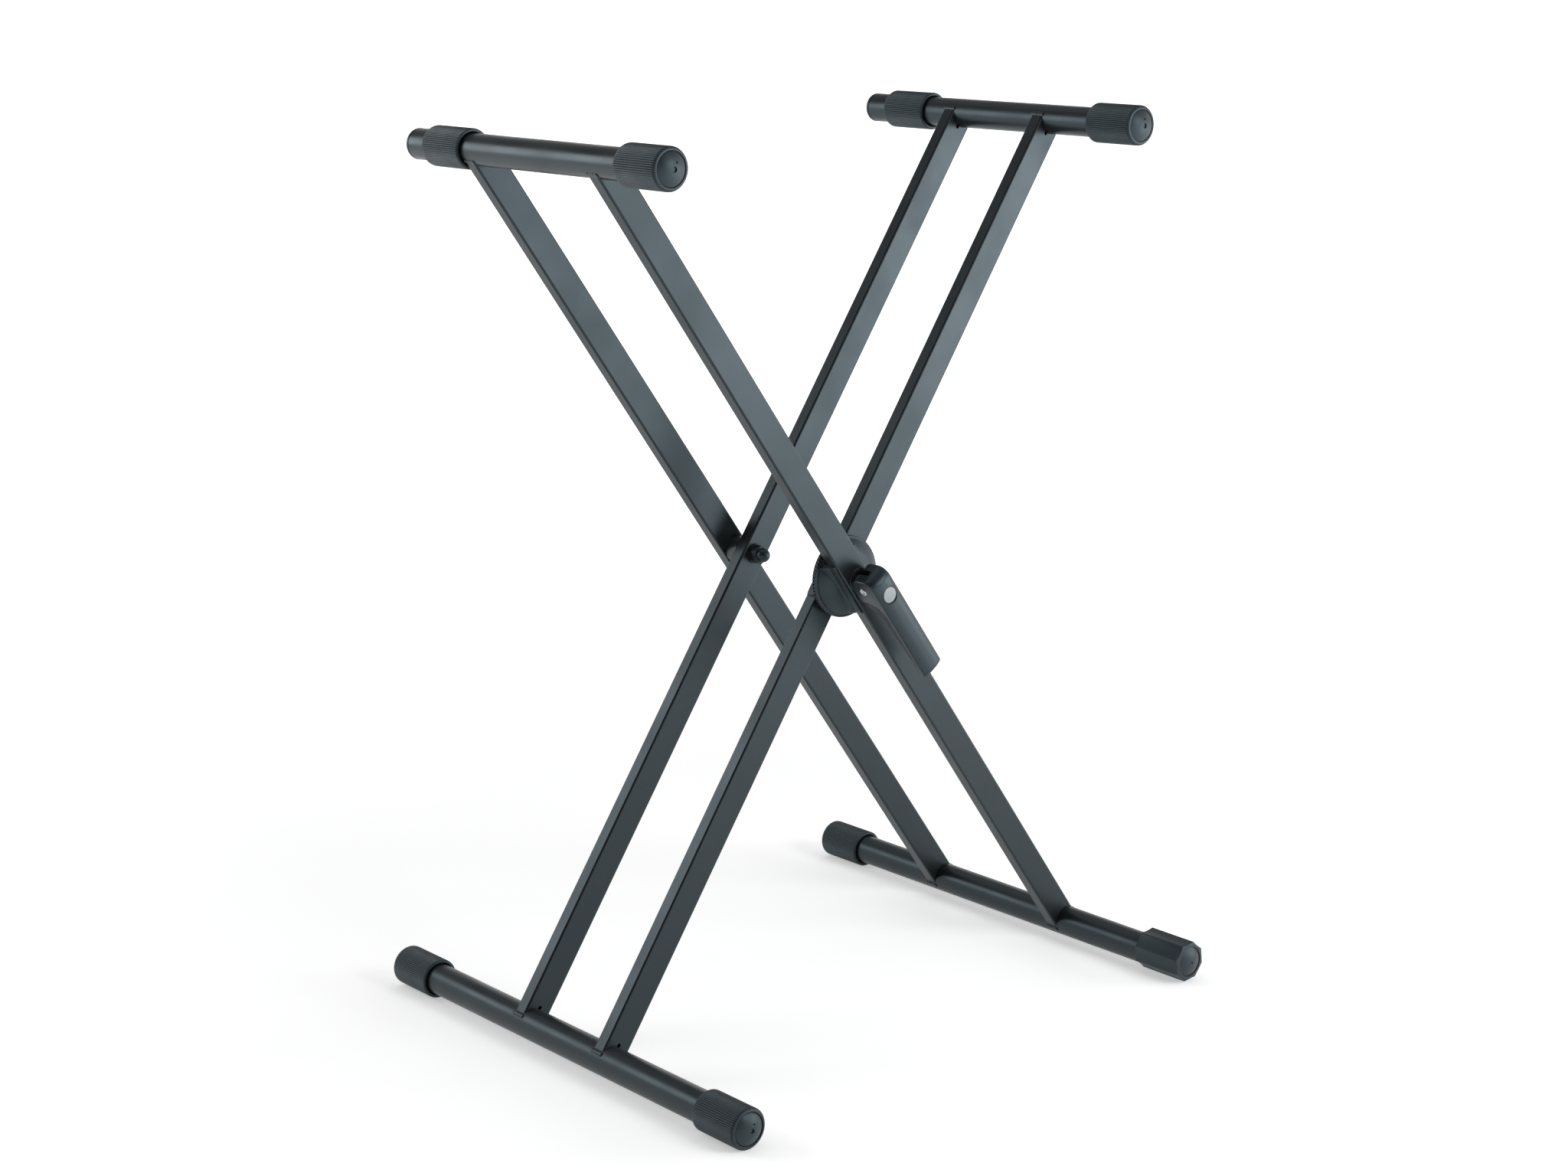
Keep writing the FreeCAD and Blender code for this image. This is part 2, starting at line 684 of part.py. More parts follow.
def biarc(start, leaving, end, arriving):
    """Two arcs that join two points and keep the given directions there."""
    span = end - start
    both = leaving + arriving
    slack = 2 * (1 - leaving.dot(arriving))
    pull = span.dot(both)
    reach = (math.sqrt(pull * pull + slack * span.dot(span)) - pull) / slack
    first = start + leaving * reach
    last = end - arriving * reach
    middle = (first + last) / 2
    joined = (last - first).normalize()
    arcs = []
    for begin, going, finish in ((start, leaving, middle), (middle, joined, end)):
        chord = finish - begin
        across = (chord - going * chord.dot(going)).normalize()
        radius = chord.dot(chord) / (2 * chord.dot(across))
        centre = begin + across * radius
        outward = ((begin + finish) / 2 - centre).normalize()
        arcs.append(Part.Arc(begin, centre + outward * radius, finish).toShape())
    return arcs


def release_spring():
    """The coil spring between the discs that opens the clutch when the lever is released."""
    mean = number("spring_mean_radius")
    wire = number("spring_wire_radius")
    quarters = int(round(4 * number("spring_turns")))
    room = number("2 * spring_pocket_depth + side_play - 2 * spring_seat - 2 * spring_wire_radius")
    rise = room / quarters
    spots = []
    ways = []
    for quarter in range(quarters + 1):
        angle = math.pi / 2 * quarter
        spots.append(FreeCAD.Vector(mean * math.cos(angle), rise * quarter - room / 2, -mean * math.sin(angle)))
        way = FreeCAD.Vector(-mean * math.sin(angle), rise / (math.pi / 2), -mean * math.cos(angle))
        ways.append(way.normalize())
    arcs = []
    for quarter in range(quarters):
        arcs += biarc(spots[quarter], ways[quarter], spots[quarter + 1], ways[quarter + 1])
    path = Part.Wire(arcs)
    section = Part.Wire(Part.Circle(spots[0], ways[0], wire).toShape())
    shell = Part.BRepOffsetAPI.MakePipeShell(path)
    shell.add(section)
    shell.build()
    shell.makeSolid()
    gaps = []
    turn = 4
    for quarter in range(quarters + 1 - turn):
        gaps.append((spots[quarter + turn] - spots[quarter]).Length - 2 * wire)
    print("spring: least gap between turns", round(min(gaps), 2), "mm, length", round(path.Length, 1), "mm")
    spring = doc.addObject("Part::Feature", "release_spring")
    spring.Label = "release_spring"
    spring.Shape = shell.shape()
    place(spring, y=f"-{CLUTCH_Y}", z=PIVOT_Z)
    pieces.append(spring)


def frames():
    """The four legs and the four bars."""
    leg("outer_leg_near", f"-{OUTER_Y}", "-half_angle", False)
    leg("outer_leg_far", OUTER_Y, "-half_angle", False)
    leg("inner_leg_near", f"-{INNER_Y}", "half_angle", True)
    leg("inner_leg_far", INNER_Y, "half_angle", True)
    bar("upper_tube_left", "upper_tube_radius", "upper_tube_length", f"-{UPPER_X}", UPPER_Z)
    bar("upper_tube_right", "upper_tube_radius", "upper_tube_length", UPPER_X, UPPER_Z)
    bar("foot_tube_left", "foot_tube_radius", "foot_tube_length", f"-{FOOT_X}", FOOT_HEIGHT)
    bar("foot_tube_right", "foot_tube_radius", "foot_tube_length", FOOT_X, FOOT_HEIGHT)


def end_fittings():
    """Caps, sleeves and plugs on the bars' ends."""
    upper = ("upper_cap_radius", "upper_tube_radius", "upper_tube_length")
    foot = ("foot_cap_radius", "foot_tube_radius", "foot_tube_length")
    closed_cap("upper_cap_left", *upper, "-", f"-{UPPER_X}", UPPER_Z)
    closed_cap("upper_cap_right", *upper, "-", UPPER_X, UPPER_Z)
    closed_cap("foot_cap_left_near", *foot, "-", f"-{FOOT_X}", FOOT_HEIGHT, flat=True)
    closed_cap("foot_cap_left_far", *foot, "", f"-{FOOT_X}", FOOT_HEIGHT, flat=True)
    closed_cap("foot_cap_right_far", *foot, "", FOOT_X, FOOT_HEIGHT, flat=True)
    levelling_cap()
    sleeve_start = f"{OUTER_FACE} + sleeve_clear_of_leg"
    sleeve("upper_sleeve_left", sleeve_start, f"-{UPPER_X}", UPPER_Z)
    sleeve("upper_sleeve_right", sleeve_start, UPPER_X, UPPER_Z)
    tube_plug("upper_plug_left", f"-{UPPER_X}", UPPER_Z)
    tube_plug("upper_plug_right", UPPER_X, UPPER_Z)


def far_pivot():
    """The plain pivot of the far legs."""
    loose = "bolt_radius + running_fit"
    pivot_bolt()
    cap_nut()
    ring_pair("pivot_washers", loose, "washer_radius", "washer_thickness",
              (f"{INNER_BACK} - side_play - washer_thickness", OUTER_FACE))
    ring("pivot_spacer", loose, "spacer_radius", "clutch_gap - side_play",
         "inner_pitch / 2 + leg_depth / 2 + side_play")
    for label, y in (("outer_leg_bushes", OUTER_Y), ("inner_leg_bushes", INNER_Y)):
        ring_pair(label, loose, "bush_radius", "leg_depth", (f"-{y} - leg_depth / 2", f"{y} - leg_depth / 2"))


def clutch():
    """The toothed clutch of the near legs and the lever that clamps it."""
    clutch_disc("outer_clutch_disc", "-", f"-{CLUTCH_Y} - side_play / 2", "-half_angle")
    clutch_disc("inner_clutch_disc", "", f"-{CLUTCH_Y} + side_play / 2", "half_angle")
    release_spring()
    eye_bolt()
    draw_nut()
    ring("draw_washer", "bolt_radius + running_fit", "washer_radius", "washer_thickness",
         f"-({INNER_BACK} - side_play)")
    ring("thrust_plate", "bolt_radius + thrust_plate_hole_play", "thrust_plate_radius", "thrust_plate_thickness",
         f"-({OUTER_FACE} + thrust_plate_thickness)")
    clamp_lever()
    lever_pin()
    lever_badge()


frames()
end_fittings()
far_pivot()
clutch()
doc.recompute()

for item in doc.Objects:
    if "Invalid" in item.State or "Error" in item.State:
        raise RuntimeError(f"{item.Label} failed: {item.State}")
for piece in pieces:
    if piece.Shape.isNull() or not piece.Shape.isValid():
        raise RuntimeError(f"{piece.Label} has no sound shape")

os.makedirs("parts", exist_ok=True)
for piece in pieces:
    piece.Shape.exportStep(f"parts/{piece.Label}.step")
print(len(pieces), "pieces")
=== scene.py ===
"""Folding keyboard stand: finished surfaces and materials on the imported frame, then floor, light and camera.

Shapes are worked out in millimetres, in the frame's own axes, and put into the meshes in metres.
"""
import json
import math
import bpy
import numpy as np
from mathutils import Matrix


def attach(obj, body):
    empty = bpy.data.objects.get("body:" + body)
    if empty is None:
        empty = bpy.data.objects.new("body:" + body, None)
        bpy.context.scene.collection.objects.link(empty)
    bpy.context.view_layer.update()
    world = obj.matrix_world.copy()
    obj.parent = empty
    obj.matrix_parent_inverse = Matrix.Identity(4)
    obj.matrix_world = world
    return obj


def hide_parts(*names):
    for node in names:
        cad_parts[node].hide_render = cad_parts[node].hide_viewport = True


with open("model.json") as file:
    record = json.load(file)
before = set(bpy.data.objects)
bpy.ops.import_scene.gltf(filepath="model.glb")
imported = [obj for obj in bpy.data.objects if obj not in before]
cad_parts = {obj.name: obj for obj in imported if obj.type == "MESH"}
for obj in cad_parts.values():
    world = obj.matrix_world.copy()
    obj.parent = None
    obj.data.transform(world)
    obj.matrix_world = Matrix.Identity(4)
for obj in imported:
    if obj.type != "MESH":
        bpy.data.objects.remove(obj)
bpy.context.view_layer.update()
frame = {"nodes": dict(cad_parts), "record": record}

MM = 0.001

# places of the frame, in millimetres
LEAN = math.radians(34.75)
UPPER_REACH, LOWER_REACH = 523.0, 527.0
FOOT_Z = 20.1
PIVOT_Z = LOWER_REACH * math.cos(LEAN) + FOOT_Z
FOOT_X = LOWER_REACH * math.sin(LEAN)
UPPER_X = UPPER_REACH * math.sin(LEAN)
UPPER_Z = PIVOT_Z + UPPER_REACH * math.cos(LEAN)
UPPER_TUBE, FOOT_TUBE = 15.0, 16.0
UPPER_TUBE_END, FOOT_TUBE_END = 190.0, 274.0
INNER_LEG_Y, OUTER_LEG_Y = 64.6, 95.0
LEG_DEPTH, LEG_HALF_WIDTH = 15.0, 15.0
LEG_FACE = OUTER_LEG_Y + LEG_DEPTH / 2
INNER_BACK = INNER_LEG_Y - LEG_DEPTH / 2
PIVOT = np.array([0.0, 0.0, PIVOT_Z])
ALONG = np.array([0.0, 1.0, 0.0])

# down the legs and across their wide faces: the outer pair, then the inner pair
DOWN = np.array([math.sin(LEAN), 0, -math.cos(LEAN)])
ACROSS = np.array([math.cos(LEAN), 0, math.sin(LEAN)])
INNER_DOWN = np.array([-math.sin(LEAN), 0, -math.cos(LEAN)])
INNER_ACROSS = np.array([math.cos(LEAN), 0, -math.sin(LEAN)])


# surfaces

def grid_quads(rows, columns, rows_closed):
    """Four-cornered faces of a grid whose columns close on themselves, and whose rows may."""
    row = np.arange(rows if rows_closed else rows - 1)[:, None]
    column = np.arange(columns)[None, :]
    below, beside = (row + 1) % rows, (column + 1) % columns
    corners = (row * columns + column, row * columns + beside,
               below * columns + beside, below * columns + column)
    return np.stack(np.broadcast_arrays(*corners), axis=-1).reshape(-1, 4)


def closed_grid(points):
    """Points and faces of a grid that is closed by a fan at the middle of its first and of its last row."""
    rows, columns = points.shape[:2]
    flat = np.concatenate([points.reshape(-1, 3), points[:1].mean(axis=1), points[-1:].mean(axis=1)])
    column = np.arange(columns)
    beside = (column + 1) % columns
    first = np.stack([np.full(columns, rows * columns), beside, column], axis=-1)
    start = (rows - 1) * columns
    last = np.stack([np.full(columns, rows * columns + 1), start + column, start + beside], axis=-1)
    return flat, grid_quads(rows, columns, False), np.concatenate([first, last])


def ring_grid(points):
    """Points and faces of a grid that closes on itself both ways."""
    rows, columns = points.shape[:2]
    return points.reshape(-1, 3), grid_quads(rows, columns, True), np.zeros((0, 3), int)


def joined(*shapes):
    """Several surfaces as one: each one's faces count on from the points of those before it."""
    counts = np.cumsum([0] + [len(shape[0]) for shape in shapes[:-1]])
    points = np.concatenate([shape[0] for shape in shapes])
    quads = np.concatenate([shape[1] + count for shape, count in zip(shapes, counts)])
    triangles = np.concatenate([shape[2] + count for shape, count in zip(shapes, counts)])
    return points, quads, triangles


def outward(points, quads, triangles):
    """The faces as lists, turned round if the volume that they enclose comes out negative."""
    halves = np.concatenate([quads[:, :3], quads[:, [0, 2, 3]], triangles])
    a, b, c = (points[halves[:, corner]] for corner in range(3))
    step = 1 if np.einsum("ij,ij->i", a, np.cross(b, c)).sum() > 0 else -1
    return quads[:, ::step].tolist() + triangles[:, ::step].tolist()


def add_piece(name, shape, finish, body, nodes=()):
    """Makes an object of a closed surface and hangs it on its body in place of the named solids."""
    crease = math.radians(32)
    mesh = bpy.data.meshes.new(name)
    mesh.from_pydata((shape[0] * MM).tolist(), [], outward(*shape))
    mesh.polygons.foreach_set("use_smooth", np.ones(len(mesh.polygons), dtype=bool))
    mesh.set_sharp_from_angle(angle=crease)
    mesh.materials.append(finish)
    piece = bpy.data.objects.new(name, mesh)
    bpy.context.scene.collection.objects.link(piece)
    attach(piece, body)
    if nodes:
        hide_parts(*nodes)


def arc(centre, radius, start, end, count):
    """Points of a circle's arc between two angles in degrees."""
    angle = np.radians(np.linspace(start, end, count))
    return np.stack([centre[0] + radius * np.cos(angle), centre[1] + radius * np.sin(angle)], axis=-1)


def path(*parts):
    """Points and arcs strung together."""
    return np.concatenate([np.atleast_2d(np.asarray(part, float)) for part in parts])


def bend(start, end, radius, count):
    """Points of an arc between two points, with its centre to the left of the way."""
    start, end = np.asarray(start, float), np.asarray(end, float)
    chord = end - start
    left = np.array([-chord[1], chord[0]]) / np.hypot(*chord)
    centre = (start + end) / 2 + left * math.sqrt(radius ** 2 - chord @ chord / 4)
    first, last = (math.atan2(*(point - centre)[::-1]) for point in (start, end))
    angle = first + np.linspace(0, (last - first + math.pi) % (2 * math.pi) - math.pi, count)
    return centre + radius * np.stack([np.cos(angle), np.sin(angle)], axis=-1)


def spread(points, count):
    """The same line with a set number of points, evenly along its length."""
    run = np.concatenate([[0], np.cumsum(np.hypot(*np.diff(points, axis=0).T))])
    place = np.linspace(0, run[-1], count)
    return np.stack([np.interp(place, run, points[:, axis]) for axis in range(2)], axis=-1)


def level_rows(values, columns):
    """Rows of a grid with one value each."""
    return np.repeat(np.asarray(values, float)[:, None], columns, axis=1)


def turned(profile, columns):
    """Radius, place along the axis and angle of a turned surface: each station goes once round."""
    angle = np.arange(columns) * 2 * math.pi / columns
    return np.broadcast_arrays(profile[:, :1], profile[:, 1:], angle[None, :])


def dome_of(radius, curve, rise):
    """Stations of a dome: from its rise above the end's plane it falls as an arc of the curve's radius."""
    return np.stack([radius, curve - rise - np.sqrt(curve ** 2 - radius ** 2)], axis=-1)


def along_bar(radius, along, angle, x, z, end, inward):
    """Places a turned surface on a bar: the axis runs along Y from the bar's end inward."""
    return np.stack([x + radius * np.cos(angle), end + inward * along, z + radius * np.sin(angle)], axis=-1)


# ribbed caps and sleeves, plugs and the levelling cap

CAP_LENGTH, CAP_END, CAP_PLAY = 58.5, 4.7, 0.05
UPPER_CAP, FOOT_CAP, SLEEVE = 20.0, 20.5, 19.5
SLEEVE_PLAY, SLEEVE_GAP = 0.08, 0.8
SKIN_ROUND, CAP_END_ROUND, CAP_RIM = 1.5, 3.2, 3.8
MOUTH_DEPTH, MOUTH_FLARE = 6.0, 1.6
RIBS, RIB_DEPTH, RIB_SAMPLES = 60, 0.7, 8
RIB_START, RIB_FADE = 1.6, 1.2
PIN_HOLE_OUT, PIN_HOLE_RADIUS, PIN_HOLE_WALL, PIN_HOLE_DEPTH = 6.5, 0.95, 0.25, 1.2


def ribbed(profile, radius, angle, outer):
    """Cuts the ribs: the radius falls by the rib depth times one less the size of cos(half the ribs' angle).

    The cut fades out over the stations that lie further inside than the skin.
    """
    share = np.clip((profile[:, 0] - outer + RIB_START) / RIB_FADE, 0, 1)
    wave = 1 - np.abs(np.cos(RIBS * angle / 2))
    return radius - RIB_DEPTH * share[:, None] * wave


def cap_shape(outer, tube, x, z, end, inward, pin_angle):
    """A ribbed closed cap: a dome in a rounded rim, ribs along the skin, a flared mouth and the bore.

    The dome falls as a circle's arc from the hole in its middle. Beside the middle, where its stations lie
    closest, it sinks in a small pin hole. What would reach below the floor is flattened on it.
    """
    rim, bore = outer - CAP_RIM, tube + CAP_PLAY
    hole, lip, dome_curve, dome_rise = 2.4, 0.35, 26.5, 4.62
    dome_radius = np.concatenate([np.linspace(2.7, 5.0, 5), np.linspace(5.2, 7.8, 18),
                                  np.linspace(8.4, rim - 0.5, 12)])
    profile = path((hole - 0.1, -3.0), (hole, -4.2), dome_of(dome_radius, dome_curve, dome_rise),
                   arc((rim - 0.3, 1.0), 0.3, 90, 0, 4), (rim, lip), arc((rim + lip, lip), lip, 180, 270, 4),
                   arc((outer - CAP_END_ROUND, CAP_END_ROUND), CAP_END_ROUND, 270, 360, 10),
                   (outer, CAP_LENGTH - SKIN_ROUND),
                   arc((outer - SKIN_ROUND, CAP_LENGTH - SKIN_ROUND), SKIN_ROUND, 15, 90, 6),
                   (bore + MOUTH_FLARE, CAP_LENGTH), (bore, CAP_LENGTH - MOUTH_DEPTH),
                   (bore, CAP_END - CAP_PLAY))
    radius, place, angle = turned(profile, RIBS * RIB_SAMPLES)
    radius = ribbed(profile, radius, angle, outer)
    apart = np.hypot(radius * np.cos(angle) - PIN_HOLE_OUT * math.cos(pin_angle),
                     radius * np.sin(angle) - PIN_HOLE_OUT * math.sin(pin_angle))
    place = place + PIN_HOLE_DEPTH * np.clip((PIN_HOLE_RADIUS - apart) / PIN_HOLE_WALL, 0, 1)
    points = along_bar(radius, place, angle, x, z, end, inward)
    points[..., 2] = np.maximum(points[..., 2], 0.0)
    return closed_grid(points)


def sleeve_shape(x, z, start):
    """A ribbed sleeve: ribs along the skin, a flared mouth towards the legs and the bore."""
    bore = UPPER_TUBE + SLEEVE_PLAY
    profile = path((bore, MOUTH_DEPTH), (bore + MOUTH_FLARE, 0),
                   arc((SLEEVE - SKIN_ROUND, SKIN_ROUND), SKIN_ROUND, 270, 360, 6),
                   arc((SLEEVE - SKIN_ROUND, CAP_LENGTH - SKIN_ROUND), SKIN_ROUND, 0, 90, 6),
                   (bore + 0.6, CAP_LENGTH), (bore, CAP_LENGTH - 0.8))
    radius, place, angle = turned(profile, RIBS * RIB_SAMPLES)
    radius = ribbed(profile, radius, angle, SLEEVE)
    return ring_grid(along_bar(radius, place, angle, x, z, start, 1))


def plug_shape(x, z):
    """A domed plug: a rounded head flush with the tube, a fine seam where it meets the tube, and its stem."""
    head, rise, corner = UPPER_TUBE + 0.1, 6.5, 4.5
    seam, stem, stem_length = head - 0.5, 13.45, 14.0
    profile = path((0.6, rise), (5.0, rise - 0.05), arc((head - corner, rise - corner), corner, 88, 0, 12),
                   (head, 0.9), (seam, 0.6), (seam, 0.0), (stem, 0.0), (stem, -stem_length))
    radius, place, angle = turned(profile, 96)
    return closed_grid(along_bar(radius, place, angle, x, z, UPPER_TUBE_END, 1))


def levelling_cap_shape():
    """The eight-sided cap: each side is a hollow of a circle's arc, with a domed end in a ring.

    All of it but the bore lies off the foot's axis, towards its high corner, so that a turn lifts the foot.
    """
    half_side = math.pi / 8
    ridge, scoop, hollow, offset, twist = 21.4, 42.0, 0.5, 2.4, math.radians(5.5)
    ring, dish, edge, dome_curve, dome_rise = 17.4, 15.8, 0.5, 29.0, 3.55
    bevel_slope, ridge_drop = 1.6 / 5.6, 0.35
    middle = ridge * math.cos(half_side) - hollow + scoop
    high = 3 * half_side + twist
    dome = dome_of(np.linspace(1.3, dish - 0.4, 12), dome_curve, dome_rise)
    end = path((1.0, -2.0), (1.05, -3.3), dome,
               (dish, 1.0), (dish, 0.25), (dish + 0.25, 0.0), (ring, 0.0))
    columns = 320
    radius, place, angle = turned(end, columns)
    turn = (angle[0] - twist + half_side) % (2 * half_side) - half_side
    side = np.minimum(middle * np.cos(turn) - np.sqrt(scoop ** 2 - (middle * np.sin(turn)) ** 2), ridge)
    share = level_rows([0.35, 0.7, 0.93, 1.0], columns)
    bevel = ring + share * (side - ring)
    bevel_place = (bevel - ring) * bevel_slope
    bevel_place[-1] += ridge_drop
    skin = np.stack([side, side - edge])
    skin_place = level_rows([CAP_LENGTH - edge, CAP_LENGTH], columns)
    bore = level_rows([FOOT_TUBE + 0.5, FOOT_TUBE + SLEEVE_PLAY, FOOT_TUBE + SLEEVE_PLAY], columns)
    bore_place = level_rows([CAP_LENGTH, CAP_LENGTH - 3, CAP_END - CAP_PLAY], columns)
    radius = np.concatenate([radius, bevel, skin, bore])
    place = np.concatenate([place, bevel_place, skin_place, bore_place])
    lift = np.concatenate([np.full(len(radius) - len(bore), offset), np.zeros(len(bore))])[:, None]
    return closed_grid(along_bar(radius, place, np.broadcast_to(angle[:1], radius.shape),
                                 FOOT_X + lift * math.cos(high), FOOT_Z + lift * math.sin(high),
                                 -FOOT_TUBE_END - CAP_END, 1))


# clamp lever with its pin and badge

CROSSING = np.array([0.0, -LEG_FACE, PIVOT_Z])
OUT = np.array([0.0, -1.0, 0.0])
CAM_CENTRE, CAM_RADIUS = (1.0, 16.2), 14.9
LEVER_TOP, CAM_GAP = CAM_CENTRE[0] - CAM_RADIUS, CAM_CENTRE[1] - CAM_RADIUS
HEEL = 18.0
LEVER_FOOT, LEVER_FRONT, LEVER_BACK = 117.0, 37.0, 31.4
NOSE_ROUND, FINGER_ROUND, FOOT_ROUND = 12.0, 18.0, 1.2
LEVER_HALF, CHEEK_ROUND = 13.25, 1.6
CROWN_DROP, CROWN_POWER = 2.6, 2.6
SLOT_HALF, SLOT_DOWN, SLOT_OUT = 3.0, 5.6, 22.8
SLOT_WALL = 0.01
PIN_OUT = 17.2
BADGE_DOWN, BADGE_FLOOR = 12.0, 35.6
BADGE_DOME, BADGE_RIM = 7.9, 9.2

# the badge's seat: half sizes of the grid's block round it, and the shares of the block where floor, wall and
# lip end
SEAT_ACROSS, SEAT_DOWN = 12.1, 12.5
SEAT_FLOOR, SEAT_WALL, SEAT_LIP = 0.77, 0.785, 0.8
SEAT_STEPS = np.array([1.0, 0.881, SEAT_LIP, SEAT_WALL, SEAT_FLOOR, 0.6, 0.42, 0.2, 0.0])


def by_lever(down, across, out):
    """Points from the outer leg's face at the pivot: down the leg, across it and out from it."""
    return CROSSING + down[..., None] * DOWN + across[..., None] * ACROSS + out[..., None] * OUT


def crown_fall(across):
    """How far the lever's front falls off beside its middle: with a power of the distance."""
    return CROWN_DROP * np.abs(across / LEVER_HALF) ** CROWN_POWER


def badge_seat(across, down):
    """Bends the lever's grid round the badge's seat, and sinks the seat.

    A block of the grid counts outward in squares from the seat's middle. The inner squares become circles,
    the outer ones go back to the block's straight edges, and inside the wall the front drops to a flat floor.
    """
    wide, tall = across / SEAT_ACROSS, (down - BADGE_DOWN) / SEAT_DOWN
    square = np.maximum(np.abs(wide), np.abs(tall))
    angle = np.arctan2(tall, wide)
    ring = np.interp(square, [0, SEAT_FLOOR, SEAT_WALL, SEAT_LIP, 0.88, 1.0],
                     [0, 9.3, 9.4, 9.6, 10.6, SEAT_ACROSS])
    straight = np.interp(square, [SEAT_LIP, 1.0], [0, 1])
    new_across = (1 - straight) * ring * np.cos(angle) + straight * across
    new_down = BADGE_DOWN + (1 - straight) * ring * np.sin(angle) + straight * (down - BADGE_DOWN)
    lip = np.interp(square, [SEAT_WALL, SEAT_LIP], [0.15, 0])
    front = LEVER_FRONT - crown_fall(new_across) - lip
    return new_across, new_down, np.where(square < (SEAT_FLOOR + SEAT_WALL) / 2, BADGE_FLOOR, front)


def lever_shape():
    """The clamp lever: its side outline is carried across its width.

    The outline changes on the way: in the middle it turns in at the slot of the draw bolt, and at both cheeks
    it draws in by a quarter circle. The front falls off towards the cheeks with a power of the distance from
    the middle, and takes the badge's seat.
    """
    stations = 60
    heel, brow = (HEEL, CAM_GAP), (LEVER_TOP, LEVER_FRONT - NOSE_ROUND)
    cam = path(heel, (CAM_CENTRE[0], CAM_GAP), arc(CAM_CENTRE, CAM_RADIUS, 270, 180, 14), brow)
    slot = path(heel, (SLOT_DOWN, CAM_GAP), (SLOT_DOWN, SLOT_OUT), (LEVER_TOP, SLOT_OUT), brow)
    nose = arc((LEVER_TOP + NOSE_ROUND, LEVER_FRONT - NOSE_ROUND), NOSE_ROUND, 180, 90, 12)
    seat_down = BADGE_DOWN + SEAT_DOWN * np.concatenate([-SEAT_STEPS, SEAT_STEPS[-2::-1]])
    handle_down = np.linspace(BADGE_DOWN + 1.2 * SEAT_DOWN, LEVER_FOOT - FOOT_ROUND, 28)
    front_down = np.concatenate([seat_down, handle_down])
    front = np.stack([front_down, np.full(len(front_down), LEVER_FRONT)], axis=-1)
    tip = (LEVER_FOOT, LEVER_BACK)
    foot = path(arc((LEVER_FOOT - FOOT_ROUND, LEVER_FRONT - FOOT_ROUND), FOOT_ROUND, 72, 0, 5), tip)
    finger = arc((HEEL + FINGER_ROUND, LEVER_BACK - FINGER_ROUND), FINGER_ROUND, 90, 180, 16)
    rest = [nose, front, foot, spread(path(tip, finger, heel), stations)]
    outside = np.concatenate([spread(cam, stations), *rest])
    slotted = np.concatenate([spread(slot, stations), *rest])

    round_off = np.radians(np.linspace(90, 0, 7))
    cheek = np.append(LEVER_HALF - CHEEK_ROUND + CHEEK_ROUND * np.sin(round_off), SEAT_ACROSS * SEAT_STEPS[1])
    inner = np.append(SEAT_ACROSS * SEAT_STEPS[2:-2], SLOT_HALF + SLOT_WALL)
    across = np.concatenate([-cheek, -inner, [-SLOT_HALF, 0.0, SLOT_HALF], inner[::-1], cheek[::-1]])
    size = np.abs(across)
    in_slot = size < SLOT_HALF + SLOT_WALL / 2
    outlines = np.where(in_slot[:, None, None], slotted, outside)

    way = np.roll(outside, -1, axis=0) - np.roll(outside, 1, axis=0)
    way /= np.maximum(np.hypot(way[:, 0], way[:, 1]), 1e-9)[:, None]
    normal = np.stack([-way[:, 1], way[:, 0]], axis=-1)
    beyond = np.maximum(size - LEVER_HALF + CHEEK_ROUND, 0)
    inset = CHEEK_ROUND - np.sqrt(np.maximum(CHEEK_ROUND ** 2 - beyond ** 2, 0))
    outlines = outlines - inset[:, None, None] * normal

    down, out = outlines[..., 0].copy(), outlines[..., 1].copy()
    across = np.repeat(across[:, None], down.shape[1], axis=1)
    out -= crown_fall(across) * np.clip((out - LEVER_FRONT + NOSE_ROUND) / NOSE_ROUND, 0, 1)
    block = np.ix_(size < SEAT_ACROSS + 0.01, stations + len(nose) + np.arange(len(seat_down)))
    across[block], down[block], out[block] = badge_seat(across[block], down[block])
    return closed_grid(by_lever(down, across, out))


def badge_shape():
    """The bare badge: a dome that falls with the radius squared, a groove round it and a rounded rim."""
    rise, fall, rim_round = 0.8, 0.15, 0.3
    radius = np.linspace(0.5, BADGE_DOME, 12)
    dome = np.stack([radius, rise - fall * (radius / BADGE_DOME) ** 2], axis=-1)
    profile = path(dome, (BADGE_DOME + 0.15, 0.4), (BADGE_DOME + 0.4, 0.4), (BADGE_DOME + 0.6, 0.65),
                   arc((BADGE_RIM - rim_round, 0.35), rim_round, 90, 0, 5), (BADGE_RIM, 0.0))
    size, height, angle = turned(profile, 96)
    down, across = BADGE_DOWN + size * np.sin(angle), size * np.cos(angle)
    return closed_grid(by_lever(down, across, BADGE_FLOOR + height))


def pin_shape():
    """The lever's cross pin: a round head with a dimple on the left cheek, a shank and a flat riveted end."""
    head, shank, head_round, end = 4.2, 2.5, 0.8, -LEVER_HALF
    profile = path((0.3, end - 0.2), (1.7, end - 0.25), (2.1, end - 0.75),
                   arc((head - head_round, end - 0.2), head_round, 265, 360, 7), (head, end), (shank, end),
                   (shank, -end), (head, -end), (head - 0.2, 0.7 - end), (head - 0.6, 0.9 - end))
    radius, place, angle = turned(profile, 48)
    return closed_grid(by_lever(radius * np.sin(angle), place, PIN_OUT + radius * np.cos(angle)))


# far pivot's nut

